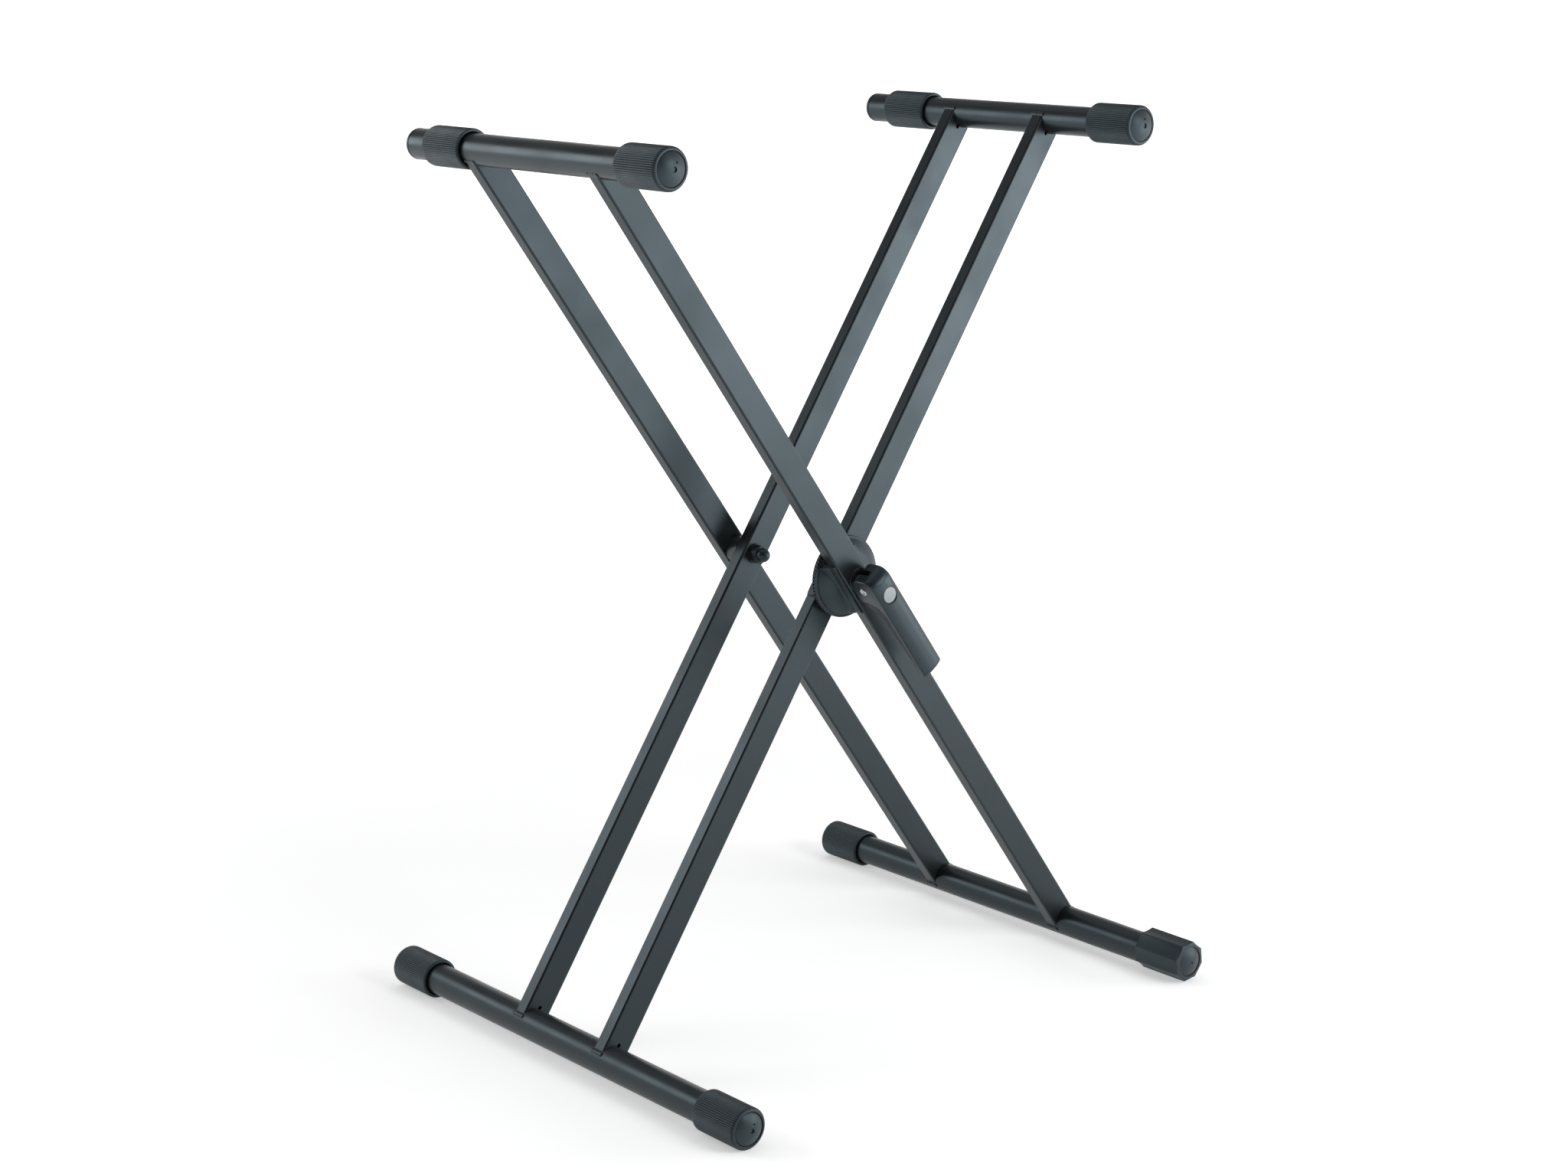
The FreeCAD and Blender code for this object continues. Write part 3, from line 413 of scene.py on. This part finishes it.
def cap_nut_shape():
    """A domed nut: six flats cut by a cone at both ends, a neck and half a ball."""
    flats, height, dome, neck_height, thread, washer = 17.0, 8.0, 7.2, 2.4, 5.05, 1.9
    columns = 144
    angle = np.arange(columns) * 2 * math.pi / columns
    hexagon = flats / 2 / np.cos((angle + math.pi / 6) % (math.pi / 3) - math.pi / 6)
    cone = path((8.6, 0.0), (9.2, 0.3), (9.9, 0.8), (9.9, height - 0.8), (9.2, height - 0.3), (8.6, height))
    top = path((dome + 0.3, height), (dome, height + 0.4), (dome, height + neck_height),
               arc((0, height + neck_height), dome, 8, 86, 12))
    radius = np.concatenate([level_rows([thread], columns), np.minimum(hexagon, cone[:, :1]),
                             level_rows(top[:, 0], columns)])
    place = level_rows([0.0, *cone[:, 1], *top[:, 1]], columns)
    return closed_grid(along_bar(radius, place, angle, 0.0, PIVOT_Z, INNER_BACK - washer, -1))


# clutch discs

TEETH, TEETH_START, TEETH_END, TOOTH_DEPTH, TOOTH_HALF = 72, 30.0, 41.2, 1.2, 1.1
TOOTH_SAMPLES, NOTCH_DEPTH = 8, 0.5
OUTER_TEETH_Y, INNER_TEETH_Y = -79.95, -79.65
DISC_BORE, POCKET_RADIUS, POCKET_DEPTH, DISC_DEPTH = 5.05, 11.5, 4.6, 12.0
BED_HALF, BED_DEPTH = 16.3, 7.5
WALL_HALF_LENGTH, WALL_END_ROUND = 32.5, 4.5


def by_disc(seat, wide, long, deep):
    """Points from the middle of a disc's teeth: across its leg, along it and away from the teeth."""
    teeth_y, side, down, across = seat
    middle = PIVOT + teeth_y * ALONG
    return middle + wide[..., None] * across + long[..., None] * down + side * deep[..., None] * ALONG


def toothed_plate(seat):
    """A disc's plate, turned about the pivot.

    The profile runs from the bore over the spring's pocket to the teeth, whose gaps are a sawtooth wave round
    the disc, then over the thin rim, which the same wave notches, and a step to the domed back. Where the leg
    lies, the back is flat.
    """
    dome = bend((37.8, 4.4), (19.0, DISC_DEPTH), 35.5, 14)
    profile = path((DISC_BORE, POCKET_DEPTH), (POCKET_RADIUS, POCKET_DEPTH), (POCKET_RADIUS, TOOTH_DEPTH),
                   (TEETH_START, TOOTH_DEPTH), (TEETH_START, 0.0), (33.5, 0.0), (37.5, 0.0), (TEETH_END, 0.0),
                   (TEETH_END, 1.5), (40.8, 2.0), (39.3, 2.2), (38.1, 2.5), dome, (DISC_BORE, DISC_DEPTH))
    radius, depth, angle = turned(profile, TEETH * TOOTH_SAMPLES)
    beside = np.abs((angle * TEETH / (2 * math.pi)) % 1 - 0.5) * 2 * math.pi * radius / TEETH
    gap = np.clip(1 - beside / TOOTH_HALF, 0, 1)
    rim_back = (profile[:, 0] > 39) & (profile[:, 1] > TOOTH_DEPTH)
    depth = np.where(depth == 0, TOOTH_DEPTH * gap, depth) - NOTCH_DEPTH * gap * rim_back[:, None]
    wide = radius * np.cos(angle)
    depth = np.where(np.abs(wide) < BED_HALF, np.minimum(depth, BED_DEPTH), depth)
    return ring_grid(by_disc(seat, wide, radius * np.sin(angle), depth))


def saddle_wall(seat, hand):
    """One wall of a disc's saddle: a section carried along the leg.

    The section is upright above and flared in a hollow below. It draws in a little towards its middle at the
    upper end, and is rounded off by a quarter circle at the lower end.
    """
    inside, crest, root = LEG_HALF_WIDTH + 0.05, 20.5, 3.0
    flank = bend((22.2, 5.0), (18.0, 14.0), 12.0, 9)[::-1]
    section = path((inside, root), (inside, crest - 0.3), (inside + 0.3, crest), (16.6, crest),
                   (17.1, crest - 0.15), (17.35, crest - 0.5), flank, (22.6, root))
    upper = np.array([-WALL_HALF_LENGTH, -WALL_HALF_LENGTH + 0.2, -WALL_HALF_LENGTH + 0.7])
    rounded = WALL_END_ROUND * (1 - np.sin(np.radians([15, 30, 45, 58, 70, 80])))
    long = np.concatenate([upper, np.linspace(-30, 27, 12), WALL_HALF_LENGTH - rounded])
    middle = np.array([16.6, 12.0])
    draw_in = np.interp(long, upper, [0.06, 0.02, 0.0])[:, None, None]
    lofted = section + draw_in * (middle - section)
    into_round = np.clip((long - WALL_HALF_LENGTH + WALL_END_ROUND) / WALL_END_ROUND, 0, 1)
    wide = inside + (lofted[..., 0] - inside) * np.sqrt(1 - into_round ** 2)[:, None]
    return closed_grid(by_disc(seat, hand * wide, level_rows(long, len(section)), lofted[..., 1]))


def disc_shape(teeth_y, side, down, across):
    """A clutch disc: the toothed plate, with the saddle's two walls on both sides of its leg."""
    seat = (teeth_y, side, down, across)
    return joined(toothed_plate(seat), saddle_wall(seat, 1), saddle_wall(seat, -1))


# welds

def weld_shape(tube, reach, way, across, leg_y, hand):
    """A weld bead where a leg's narrow face ends on a bar: a flat round section carried along the bar.

    The bead swells with two sine waves of different length and wanders round the bar with a third. It gathers
    in a drop, a bell curve, at the near corner, and closes at its ends: the root of one less a sixth power.
    """
    half_length, half_width, height = 8.6, 2.4, 0.95
    drop, drop_place, drop_width = 0.2, -7.3, 1.6
    along = np.linspace(-half_length, half_length, 36)
    swell = 1 + 0.06 * np.sin(1.3 * along + hand) + 0.04 * np.sin(2.3 * along + leg_y)
    swell += drop * np.exp(-((along - drop_place) / drop_width) ** 2)
    swell *= np.sqrt(np.clip(1 - (np.abs(along) / (half_length + 0.3)) ** 6, 0, 1))
    swell = swell[:, None]
    wander = 0.2 * np.sin(0.9 * along + hand)[:, None]
    section = np.arange(14) * 2 * math.pi / 14
    round_bar = np.radians(11.0) + (half_width * swell * np.cos(section) + wander) / tube
    radius = tube + 0.1 + height * swell * np.sin(section)
    long, wide = -radius * np.sin(round_bar), hand * radius * np.cos(round_bar)
    beside = (leg_y + along)[:, None, None] * ALONG
    return closed_grid(PIVOT + reach * way + long[..., None] * way + wide[..., None] * across + beside)


def frame_welds(way, across, leg_y):
    """All the beads of one pair of legs: at both ends, on both narrow faces."""
    ends = ((FOOT_TUBE, LOWER_REACH, way), (UPPER_TUBE, UPPER_REACH, -way))
    return joined(*[weld_shape(tube, reach, along, across, y, hand)
                    for tube, reach, along in ends for y in (-leg_y, leg_y) for hand in (1, -1)])


# materials

def linear(code):
    """A colour's sRGB hex code as linear values."""
    level = np.array([int(code[place:place + 2], 16) for place in (1, 3, 5)]) / 255
    level = np.where(level <= 0.04045, level / 12.92, ((level + 0.055) / 1.055) ** 2.4)
    return (*level.tolist(), 1.0)


def add(tree, kind, inputs=None, **settings):
    """Adds a node: settings are its properties, inputs are values or other nodes' outputs for its sockets."""
    item = tree.nodes.new(kind)
    for name, value in settings.items():
        setattr(item, name, value)
    for socket, value in (inputs or {}).items():
        if isinstance(value, bpy.types.NodeSocket):
            tree.links.new(value, item.inputs[socket])
        else:
            item.inputs[socket].default_value = value
    return item


def per_mm(size):
    """A noise texture's scale for features of that many millimetres."""
    return 1000.0 / size


def new_finish(name):
    """An empty node material and its tree."""
    material = bpy.data.materials.new(name)
    material.use_nodes = True
    material.node_tree.nodes.clear()
    return material, material.node_tree


# noise stays mostly between these values
NOISE_LOW, NOISE_HIGH = 0.3, 0.7


def textured(name, dark, light, roughness, spread_mm, grain_mm, grain_depth, **shader):
    """A coated or moulded finish: near tones and glosses drift over it, and a fine grain is embossed."""
    gloss_drift, grain_strength = 0.05, 0.6
    material, tree = new_finish(name)
    where = add(tree, "ShaderNodeTexCoord").outputs["Object"]
    drift = add(tree, "ShaderNodeTexNoise", {
        "Vector": where, "Scale": per_mm(spread_mm), "Detail": 4.0}).outputs["Fac"]
    grain = add(tree, "ShaderNodeTexNoise", {
        "Vector": where, "Scale": per_mm(grain_mm), "Detail": 2.0}).outputs["Fac"]
    tone = add(tree, "ShaderNodeMix", {
        "Factor": drift, "A": linear(dark), "B": linear(light)}, data_type="RGBA")
    rough = add(tree, "ShaderNodeMapRange", {
        "Value": drift, "From Min": NOISE_LOW, "From Max": NOISE_HIGH,
        "To Min": roughness - gloss_drift, "To Max": roughness + gloss_drift})
    bump = add(tree, "ShaderNodeBump", {
        "Height": grain, "Strength": grain_strength, "Distance": grain_depth * MM})
    surface = add(tree, "ShaderNodeBsdfPrincipled", {
        "Base Color": tone.outputs["Result"], "Normal": bump.outputs["Normal"],
        "Roughness": rough.outputs["Result"], **shader})
    add(tree, "ShaderNodeOutputMaterial", {"Surface": surface.outputs["BSDF"]})
    return material


# the black finishes all gleam a little cool
COOL = {"Specular Tint": linear("#d2f1ff")}
# baked powder paint on steel tube: an even satin black with a fine orange-peel skin
powder_coat = textured("powder_coated_steel", "#1c1e1f", "#212324", 0.36, 60.0, 1.6, 0.05, **COOL)
# moulded rubber: matt and soft, with a very fine grain
rubber = textured("moulded_rubber", "#282d30", "#2f3437", 0.46, 14.0, 0.7, 0.06, **COOL)
# glass-filled nylon, moulded: a dull skin with faint flow marks
nylon = textured("glass_filled_nylon", "#1e2326", "#262b2e", 0.46, 9.0, 0.6, 0.05, **COOL)
# moulded ABS with a spark-eroded grain
abs_grain = textured("grained_abs", "#1d2225", "#24292c", 0.36, 20.0, 0.8, 0.07, **COOL)
# polyethylene tube plug: smooth, a little waxy
polyethylene = textured("moulded_polyethylene", "#1c1f21", "#222527", 0.4, 12.0, 1.2, 0.03, **COOL)
# acetal bearing pieces: dense, smooth and dark
acetal = textured("turned_acetal", "#2f3133", "#36383a", 0.35, 8.0, 0.8, 0.02)
# black passivated zinc on steel: a dark, even skin with a soft gleam
black_zinc = textured("black_zinc_plated_steel", "#181b1d", "#202325", 0.42, 6.0, 0.9, 0.02, **COOL)
# bright zinc on steel: pale and slightly cloudy
bright_zinc = textured("bright_zinc_plated_steel", "#b4b7ba", "#c6c9cc", 0.28, 5.0, 0.7, 0.01, Metallic=1.0)
# drawn spring wire: grey and bright, with faint drawing marks
spring_wire = textured("drawn_spring_wire", "#8b8c8d", "#9a9b9c", 0.3, 3.0, 0.5, 0.01, Metallic=1.0)


def spun(name, dark, light, roughness, ring_mm, rim_mm, centre):
    """A spun metal: fine rings of two tones and glosses round an axis along Y, inside a dark, glossy rim."""
    gloss_drift = 0.1
    material, tree = new_finish(name)
    where = add(tree, "ShaderNodeTexCoord").outputs["Object"]
    beside = add(tree, "ShaderNodeVectorMath", {0: where, 1: tuple(centre * MM)}, operation="SUBTRACT")
    flat = add(tree, "ShaderNodeVectorMath", {
        0: beside.outputs["Vector"], 1: (1.0, 0.0, 1.0)}, operation="MULTIPLY")
    reach = add(tree, "ShaderNodeVectorMath", {
        0: flat.outputs["Vector"]}, operation="LENGTH").outputs["Value"]
    rings = add(tree, "ShaderNodeTexNoise", {
        "W": reach, "Scale": per_mm(ring_mm), "Detail": 3.0}, noise_dimensions="1D").outputs["Fac"]
    tone = add(tree, "ShaderNodeMix", {
        "Factor": rings, "A": linear(dark), "B": linear(light)}, data_type="RGBA")
    rough = add(tree, "ShaderNodeMapRange", {
        "Value": rings, "From Min": NOISE_LOW, "From Max": NOISE_HIGH,
        "To Min": roughness - gloss_drift, "To Max": roughness + gloss_drift})
    metal = add(tree, "ShaderNodeBsdfPrincipled", {
        "Base Color": tone.outputs["Result"], "Metallic": 1.0, "Roughness": rough.outputs["Result"]})
    # the groove and rim round the rings get a dark, glossy surface in place of the metal
    dark_rim_shader = add(tree, "ShaderNodeBsdfPrincipled", {"Base Color": linear("#15181a"), "Roughness": 0.3})
    on_rim = add(tree, "ShaderNodeMath", {0: reach, 1: rim_mm * MM}, operation="GREATER_THAN")
    surface = add(tree, "ShaderNodeMixShader", {
        0: on_rim.outputs[0], 1: metal.outputs["BSDF"], 2: dark_rim_shader.outputs["BSDF"]})
    add(tree, "ShaderNodeOutputMaterial", {"Surface": surface.outputs["Shader"]})
    return material


# spun aluminium of the badge: fine rings round its middle, and a dark, glossy rim round them
spun_aluminium = spun("spun_aluminium", "#5d6164", "#94989b", 0.45, 0.9, BADGE_DOME + 0.05,
                      by_lever(*np.array([BADGE_DOWN, 0.0, BADGE_FLOOR])))

FINISHES = {
    "tube_coating": powder_coat,
    "cap_rubber": rubber,
    "plug_plastic": polyethylene,
    "clutch_plastic": nylon,
    "lever_plastic": abs_grain,
    "bearing_plastic": acetal,
    "black_steel": black_zinc,
    "zinc_steel": bright_zinc,
    "spring_steel": spring_wire,
    "badge_metal": spun_aluminium,
}
for part in frame["record"]["subparts"]:
    node = frame["nodes"][part["node"]]
    for place in node.material_slots:
        place.material = FINISHES[part["material_slot"]]
# the far pivot's washers are passivated black, as its bolt and nut are
for place in frame["nodes"]["pivot_washers"].material_slots:
    place.material = black_zinc


# pieces

for name, body, x, pin in (("upper_cap_left", "outer_frame", -UPPER_X, 62),
                           ("upper_cap_right", "inner_frame", UPPER_X, 90)):
    shape = cap_shape(UPPER_CAP, UPPER_TUBE, x, UPPER_Z, -UPPER_TUBE_END - CAP_END, 1, math.radians(pin))
    add_piece(f"{name}_ribbed", shape, rubber, body, [name])
for name, body, x, inward, pin in (("foot_cap_left_near", "inner_frame", -FOOT_X, 1, 62),
                                   ("foot_cap_left_far", "inner_frame", -FOOT_X, -1, 90),
                                   ("foot_cap_right_far", "outer_frame", FOOT_X, -1, 110)):
    end = -inward * (FOOT_TUBE_END + CAP_END)
    shape = cap_shape(FOOT_CAP, FOOT_TUBE, x, FOOT_Z, end, inward, math.radians(pin))
    add_piece(f"{name}_ribbed", shape, rubber, body, [name])
for side, sleeve_body, frame_body, x in (("left", "left_sleeve", "outer_frame", -UPPER_X),
                                         ("right", "right_sleeve", "inner_frame", UPPER_X)):
    add_piece(f"upper_sleeve_{side}_ribbed", sleeve_shape(x, UPPER_Z, LEG_FACE + SLEEVE_GAP), rubber,
              sleeve_body, [f"upper_sleeve_{side}"])
    add_piece(f"upper_plug_{side}_domed", plug_shape(x, UPPER_Z), polyethylene, frame_body,
              [f"upper_plug_{side}"])
add_piece("levelling_cap_scooped", levelling_cap_shape(), rubber, "levelling_foot",
          ["levelling_cap"])
add_piece("clamp_lever_moulded", lever_shape(), abs_grain, "lever", ["clamp_lever"])
add_piece("lever_badge_spun", badge_shape(), spun_aluminium, "lever", ["lever_badge"])
add_piece("lever_pin_riveted", pin_shape(), bright_zinc, "lever", ["lever_pin"])
add_piece("cap_nut_domed", cap_nut_shape(), black_zinc, "outer_frame", ["cap_nut"])
add_piece("outer_clutch_disc_moulded", disc_shape(OUTER_TEETH_Y, -1, DOWN, ACROSS), nylon, "outer_frame",
          ["outer_clutch_disc"])
add_piece("inner_clutch_disc_moulded", disc_shape(INNER_TEETH_Y, 1, INNER_DOWN, INNER_ACROSS), nylon,
          "inner_frame", ["inner_clutch_disc"])
add_piece("outer_frame_welds", frame_welds(DOWN, ACROSS, OUTER_LEG_Y), powder_coat, "outer_frame")
add_piece("inner_frame_welds", frame_welds(INNER_DOWN, INNER_ACROSS, INNER_LEG_Y), powder_coat, "inner_frame")


# floor, light and camera

def stage_floor():
    """A wide matt floor. Camera, gloss and glass also see a glow on it.

    The glow is weak near the object, so that its shadow shows, and full white further out.
    """
    size, near_glow = 300.0, 0.4
    glow_start, glow_end = 0.6, 3.0
    mesh = bpy.data.meshes.new("studio_floor")
    corners = np.array([[-size, -size, 0], [size, -size, 0], [size, size, 0], [-size, size, 0]])
    mesh.from_pydata(corners.tolist(), [], [[0, 1, 2, 3]])
    material, tree = new_finish("matt_white_floor")
    where = add(tree, "ShaderNodeTexCoord").outputs["Object"]
    cloud = add(tree, "ShaderNodeTexNoise", {"Vector": where, "Scale": per_mm(400.0)})
    tone = add(tree, "ShaderNodeMix", {
        "Factor": cloud.outputs["Fac"], "A": linear("#f4f5f5"), "B": linear("#fbfbfb")}, data_type="RGBA")
    matt = add(tree, "ShaderNodeBsdfDiffuse", {"Color": tone.outputs["Result"]})
    away = add(tree, "ShaderNodeVectorMath", {0: where}, operation="LENGTH")
    glow = add(tree, "ShaderNodeMapRange", {
        "Value": away.outputs["Value"], "From Min": glow_start, "From Max": glow_end,
        "To Min": near_glow, "To Max": 1.0}, interpolation_type="SMOOTHSTEP")
    rays = add(tree, "ShaderNodeLightPath").outputs
    seen = add(tree, "ShaderNodeMath", {
        0: rays["Is Camera Ray"], 1: rays["Is Glossy Ray"]}, operation="MAXIMUM")
    seen = add(tree, "ShaderNodeMath", {
        0: seen.outputs[0], 1: rays["Is Transmission Ray"]}, operation="MAXIMUM")
    level = add(tree, "ShaderNodeMath", {0: glow.outputs["Result"], 1: seen.outputs[0]}, operation="MULTIPLY")
    shine = add(tree, "ShaderNodeEmission", {"Strength": level.outputs[0]})
    both = add(tree, "ShaderNodeAddShader", {0: matt.outputs["BSDF"], 1: shine.outputs["Emission"]})
    add(tree, "ShaderNodeOutputMaterial", {"Surface": both.outputs["Shader"]})
    mesh.materials.append(material)
    floor = bpy.data.objects.new("studio_floor", mesh)
    bpy.context.scene.collection.objects.link(floor)


def aim(eye, target, roll=0.0):
    """A placement that looks from a point to another, in metres, rolled about its line of sight."""
    eye, target = np.asarray(eye, float), np.asarray(target, float)
    back = (eye - target) / np.linalg.norm(eye - target)
    right = np.cross(-back, [0, 0, 1])
    right /= np.linalg.norm(right)
    up = np.cross(right, -back)
    placement = np.eye(4)
    placement[:3, 0] = right * math.cos(roll) + up * math.sin(roll)
    placement[:3, 1] = up * math.cos(roll) - right * math.sin(roll)
    placement[:3, 2] = back
    placement[:3, 3] = eye
    return Matrix(placement.tolist())


def softbox(name, eye, target, power, width=1.2, height=0.9):
    """A rectangular soft light: places and sizes in metres, power in watts."""
    lamp = bpy.data.lights.new(name, "AREA")
    lamp.shape = "RECTANGLE"
    lamp.size, lamp.size_y, lamp.energy = width, height, power
    holder = bpy.data.objects.new(name, lamp)
    holder.matrix_world = aim(eye, target)
    bpy.context.scene.collection.objects.link(holder)


def studio_world():
    """The studio round the object: white for the camera and glass.

    Its walls light the object: white round the backdrop, dim above, a bright ceiling, and dark behind the
    photographer. Each band gives way to the next by a smooth step of the direction's height.
    """
    wall_light, upper_light, ceiling_light, dark_side = 1.0, 0.1, 0.8, 0.0
    wall_top, upper_start = 0.3, 0.55
    upper_top, ceiling_start = 0.6, 0.85
    photographer = (-0.65, -0.76, 0.0)
    world = bpy.data.worlds.new("studio")
    world.use_nodes = True
    tree = world.node_tree
    tree.nodes.clear()
    rays = add(tree, "ShaderNodeLightPath").outputs
    way = add(tree, "ShaderNodeTexCoord").outputs["Generated"]
    height = add(tree, "ShaderNodeSeparateXYZ", {0: way}).outputs["Z"]
    facing = add(tree, "ShaderNodeVectorMath", {0: way, 1: photographer}, operation="DOT_PRODUCT")
    upper = add(tree, "ShaderNodeMapRange", {
        "Value": height, "From Min": wall_top, "From Max": upper_start,
        "To Min": wall_light, "To Max": upper_light}, interpolation_type="SMOOTHSTEP")
    ceiling = add(tree, "ShaderNodeMapRange", {
        "Value": height, "From Min": upper_top, "From Max": ceiling_start,
        "To Min": upper.outputs["Result"], "To Max": ceiling_light}, interpolation_type="SMOOTHSTEP")
    around = add(tree, "ShaderNodeMapRange", {
        "Value": facing.outputs["Value"], "From Min": 0.0, "From Max": 0.5,
        "To Min": ceiling.outputs["Result"], "To Max": dark_side}, interpolation_type="SMOOTHSTEP")
    clear = add(tree, "ShaderNodeMath", {
        0: rays["Is Camera Ray"], 1: rays["Is Transmission Ray"]}, operation="MAXIMUM")
    strength = add(tree, "ShaderNodeMix", {
        "Factor": clear.outputs[0], "A": around.outputs["Result"], "B": 1.0})
    white = add(tree, "ShaderNodeBackground", {"Color": (1, 1, 1, 1), "Strength": strength.outputs["Result"]})
    add(tree, "ShaderNodeOutputWorld", {"Surface": white.outputs["Background"]})
    bpy.context.scene.world = world


def photo_camera():
    """The photograph's viewpoint, fitted to the edges of the legs and bars."""
    bearing, height, roll = np.radians([-40.597, 13.873, -0.80])
    target, distance = np.array([-5.525, 6.159, 426.49]) * MM, 2862.0 * MM
    focal_pixels, picture_pixels = 3680.6, 2048
    level = math.cos(height)
    back = np.array([math.sin(bearing) * level, -math.cos(bearing) * level, math.sin(height)])
    camera = bpy.data.cameras.new("camera")
    camera.sensor_width = 36.0
    camera.lens = focal_pixels * camera.sensor_width / picture_pixels
    camera.clip_end = 1000.0
    holder = bpy.data.objects.new("camera", camera)
    holder.matrix_world = aim(target + back * distance, target, roll)
    bpy.context.scene.collection.objects.link(holder)
    bpy.context.scene.camera = holder


stage_floor()
softbox("front_upper", (0.6, -2.4, 1.55), (0.0, 0.0, 0.8), 25)
softbox("front_lower", (0.6, -2.4, 0.55), (0.0, 0.0, 0.5), 3)
softbox("front_right", (1.75, -1.75, 0.55), (0.0, 0.0, 0.5), 18)
softbox("back_left", (-1.65, 1.9, 1.45), (-0.1, 0.0, 0.9), 16, 1.3, 1.1)
studio_world()
photo_camera()
bpy.context.scene.view_settings.view_transform = "Standard"
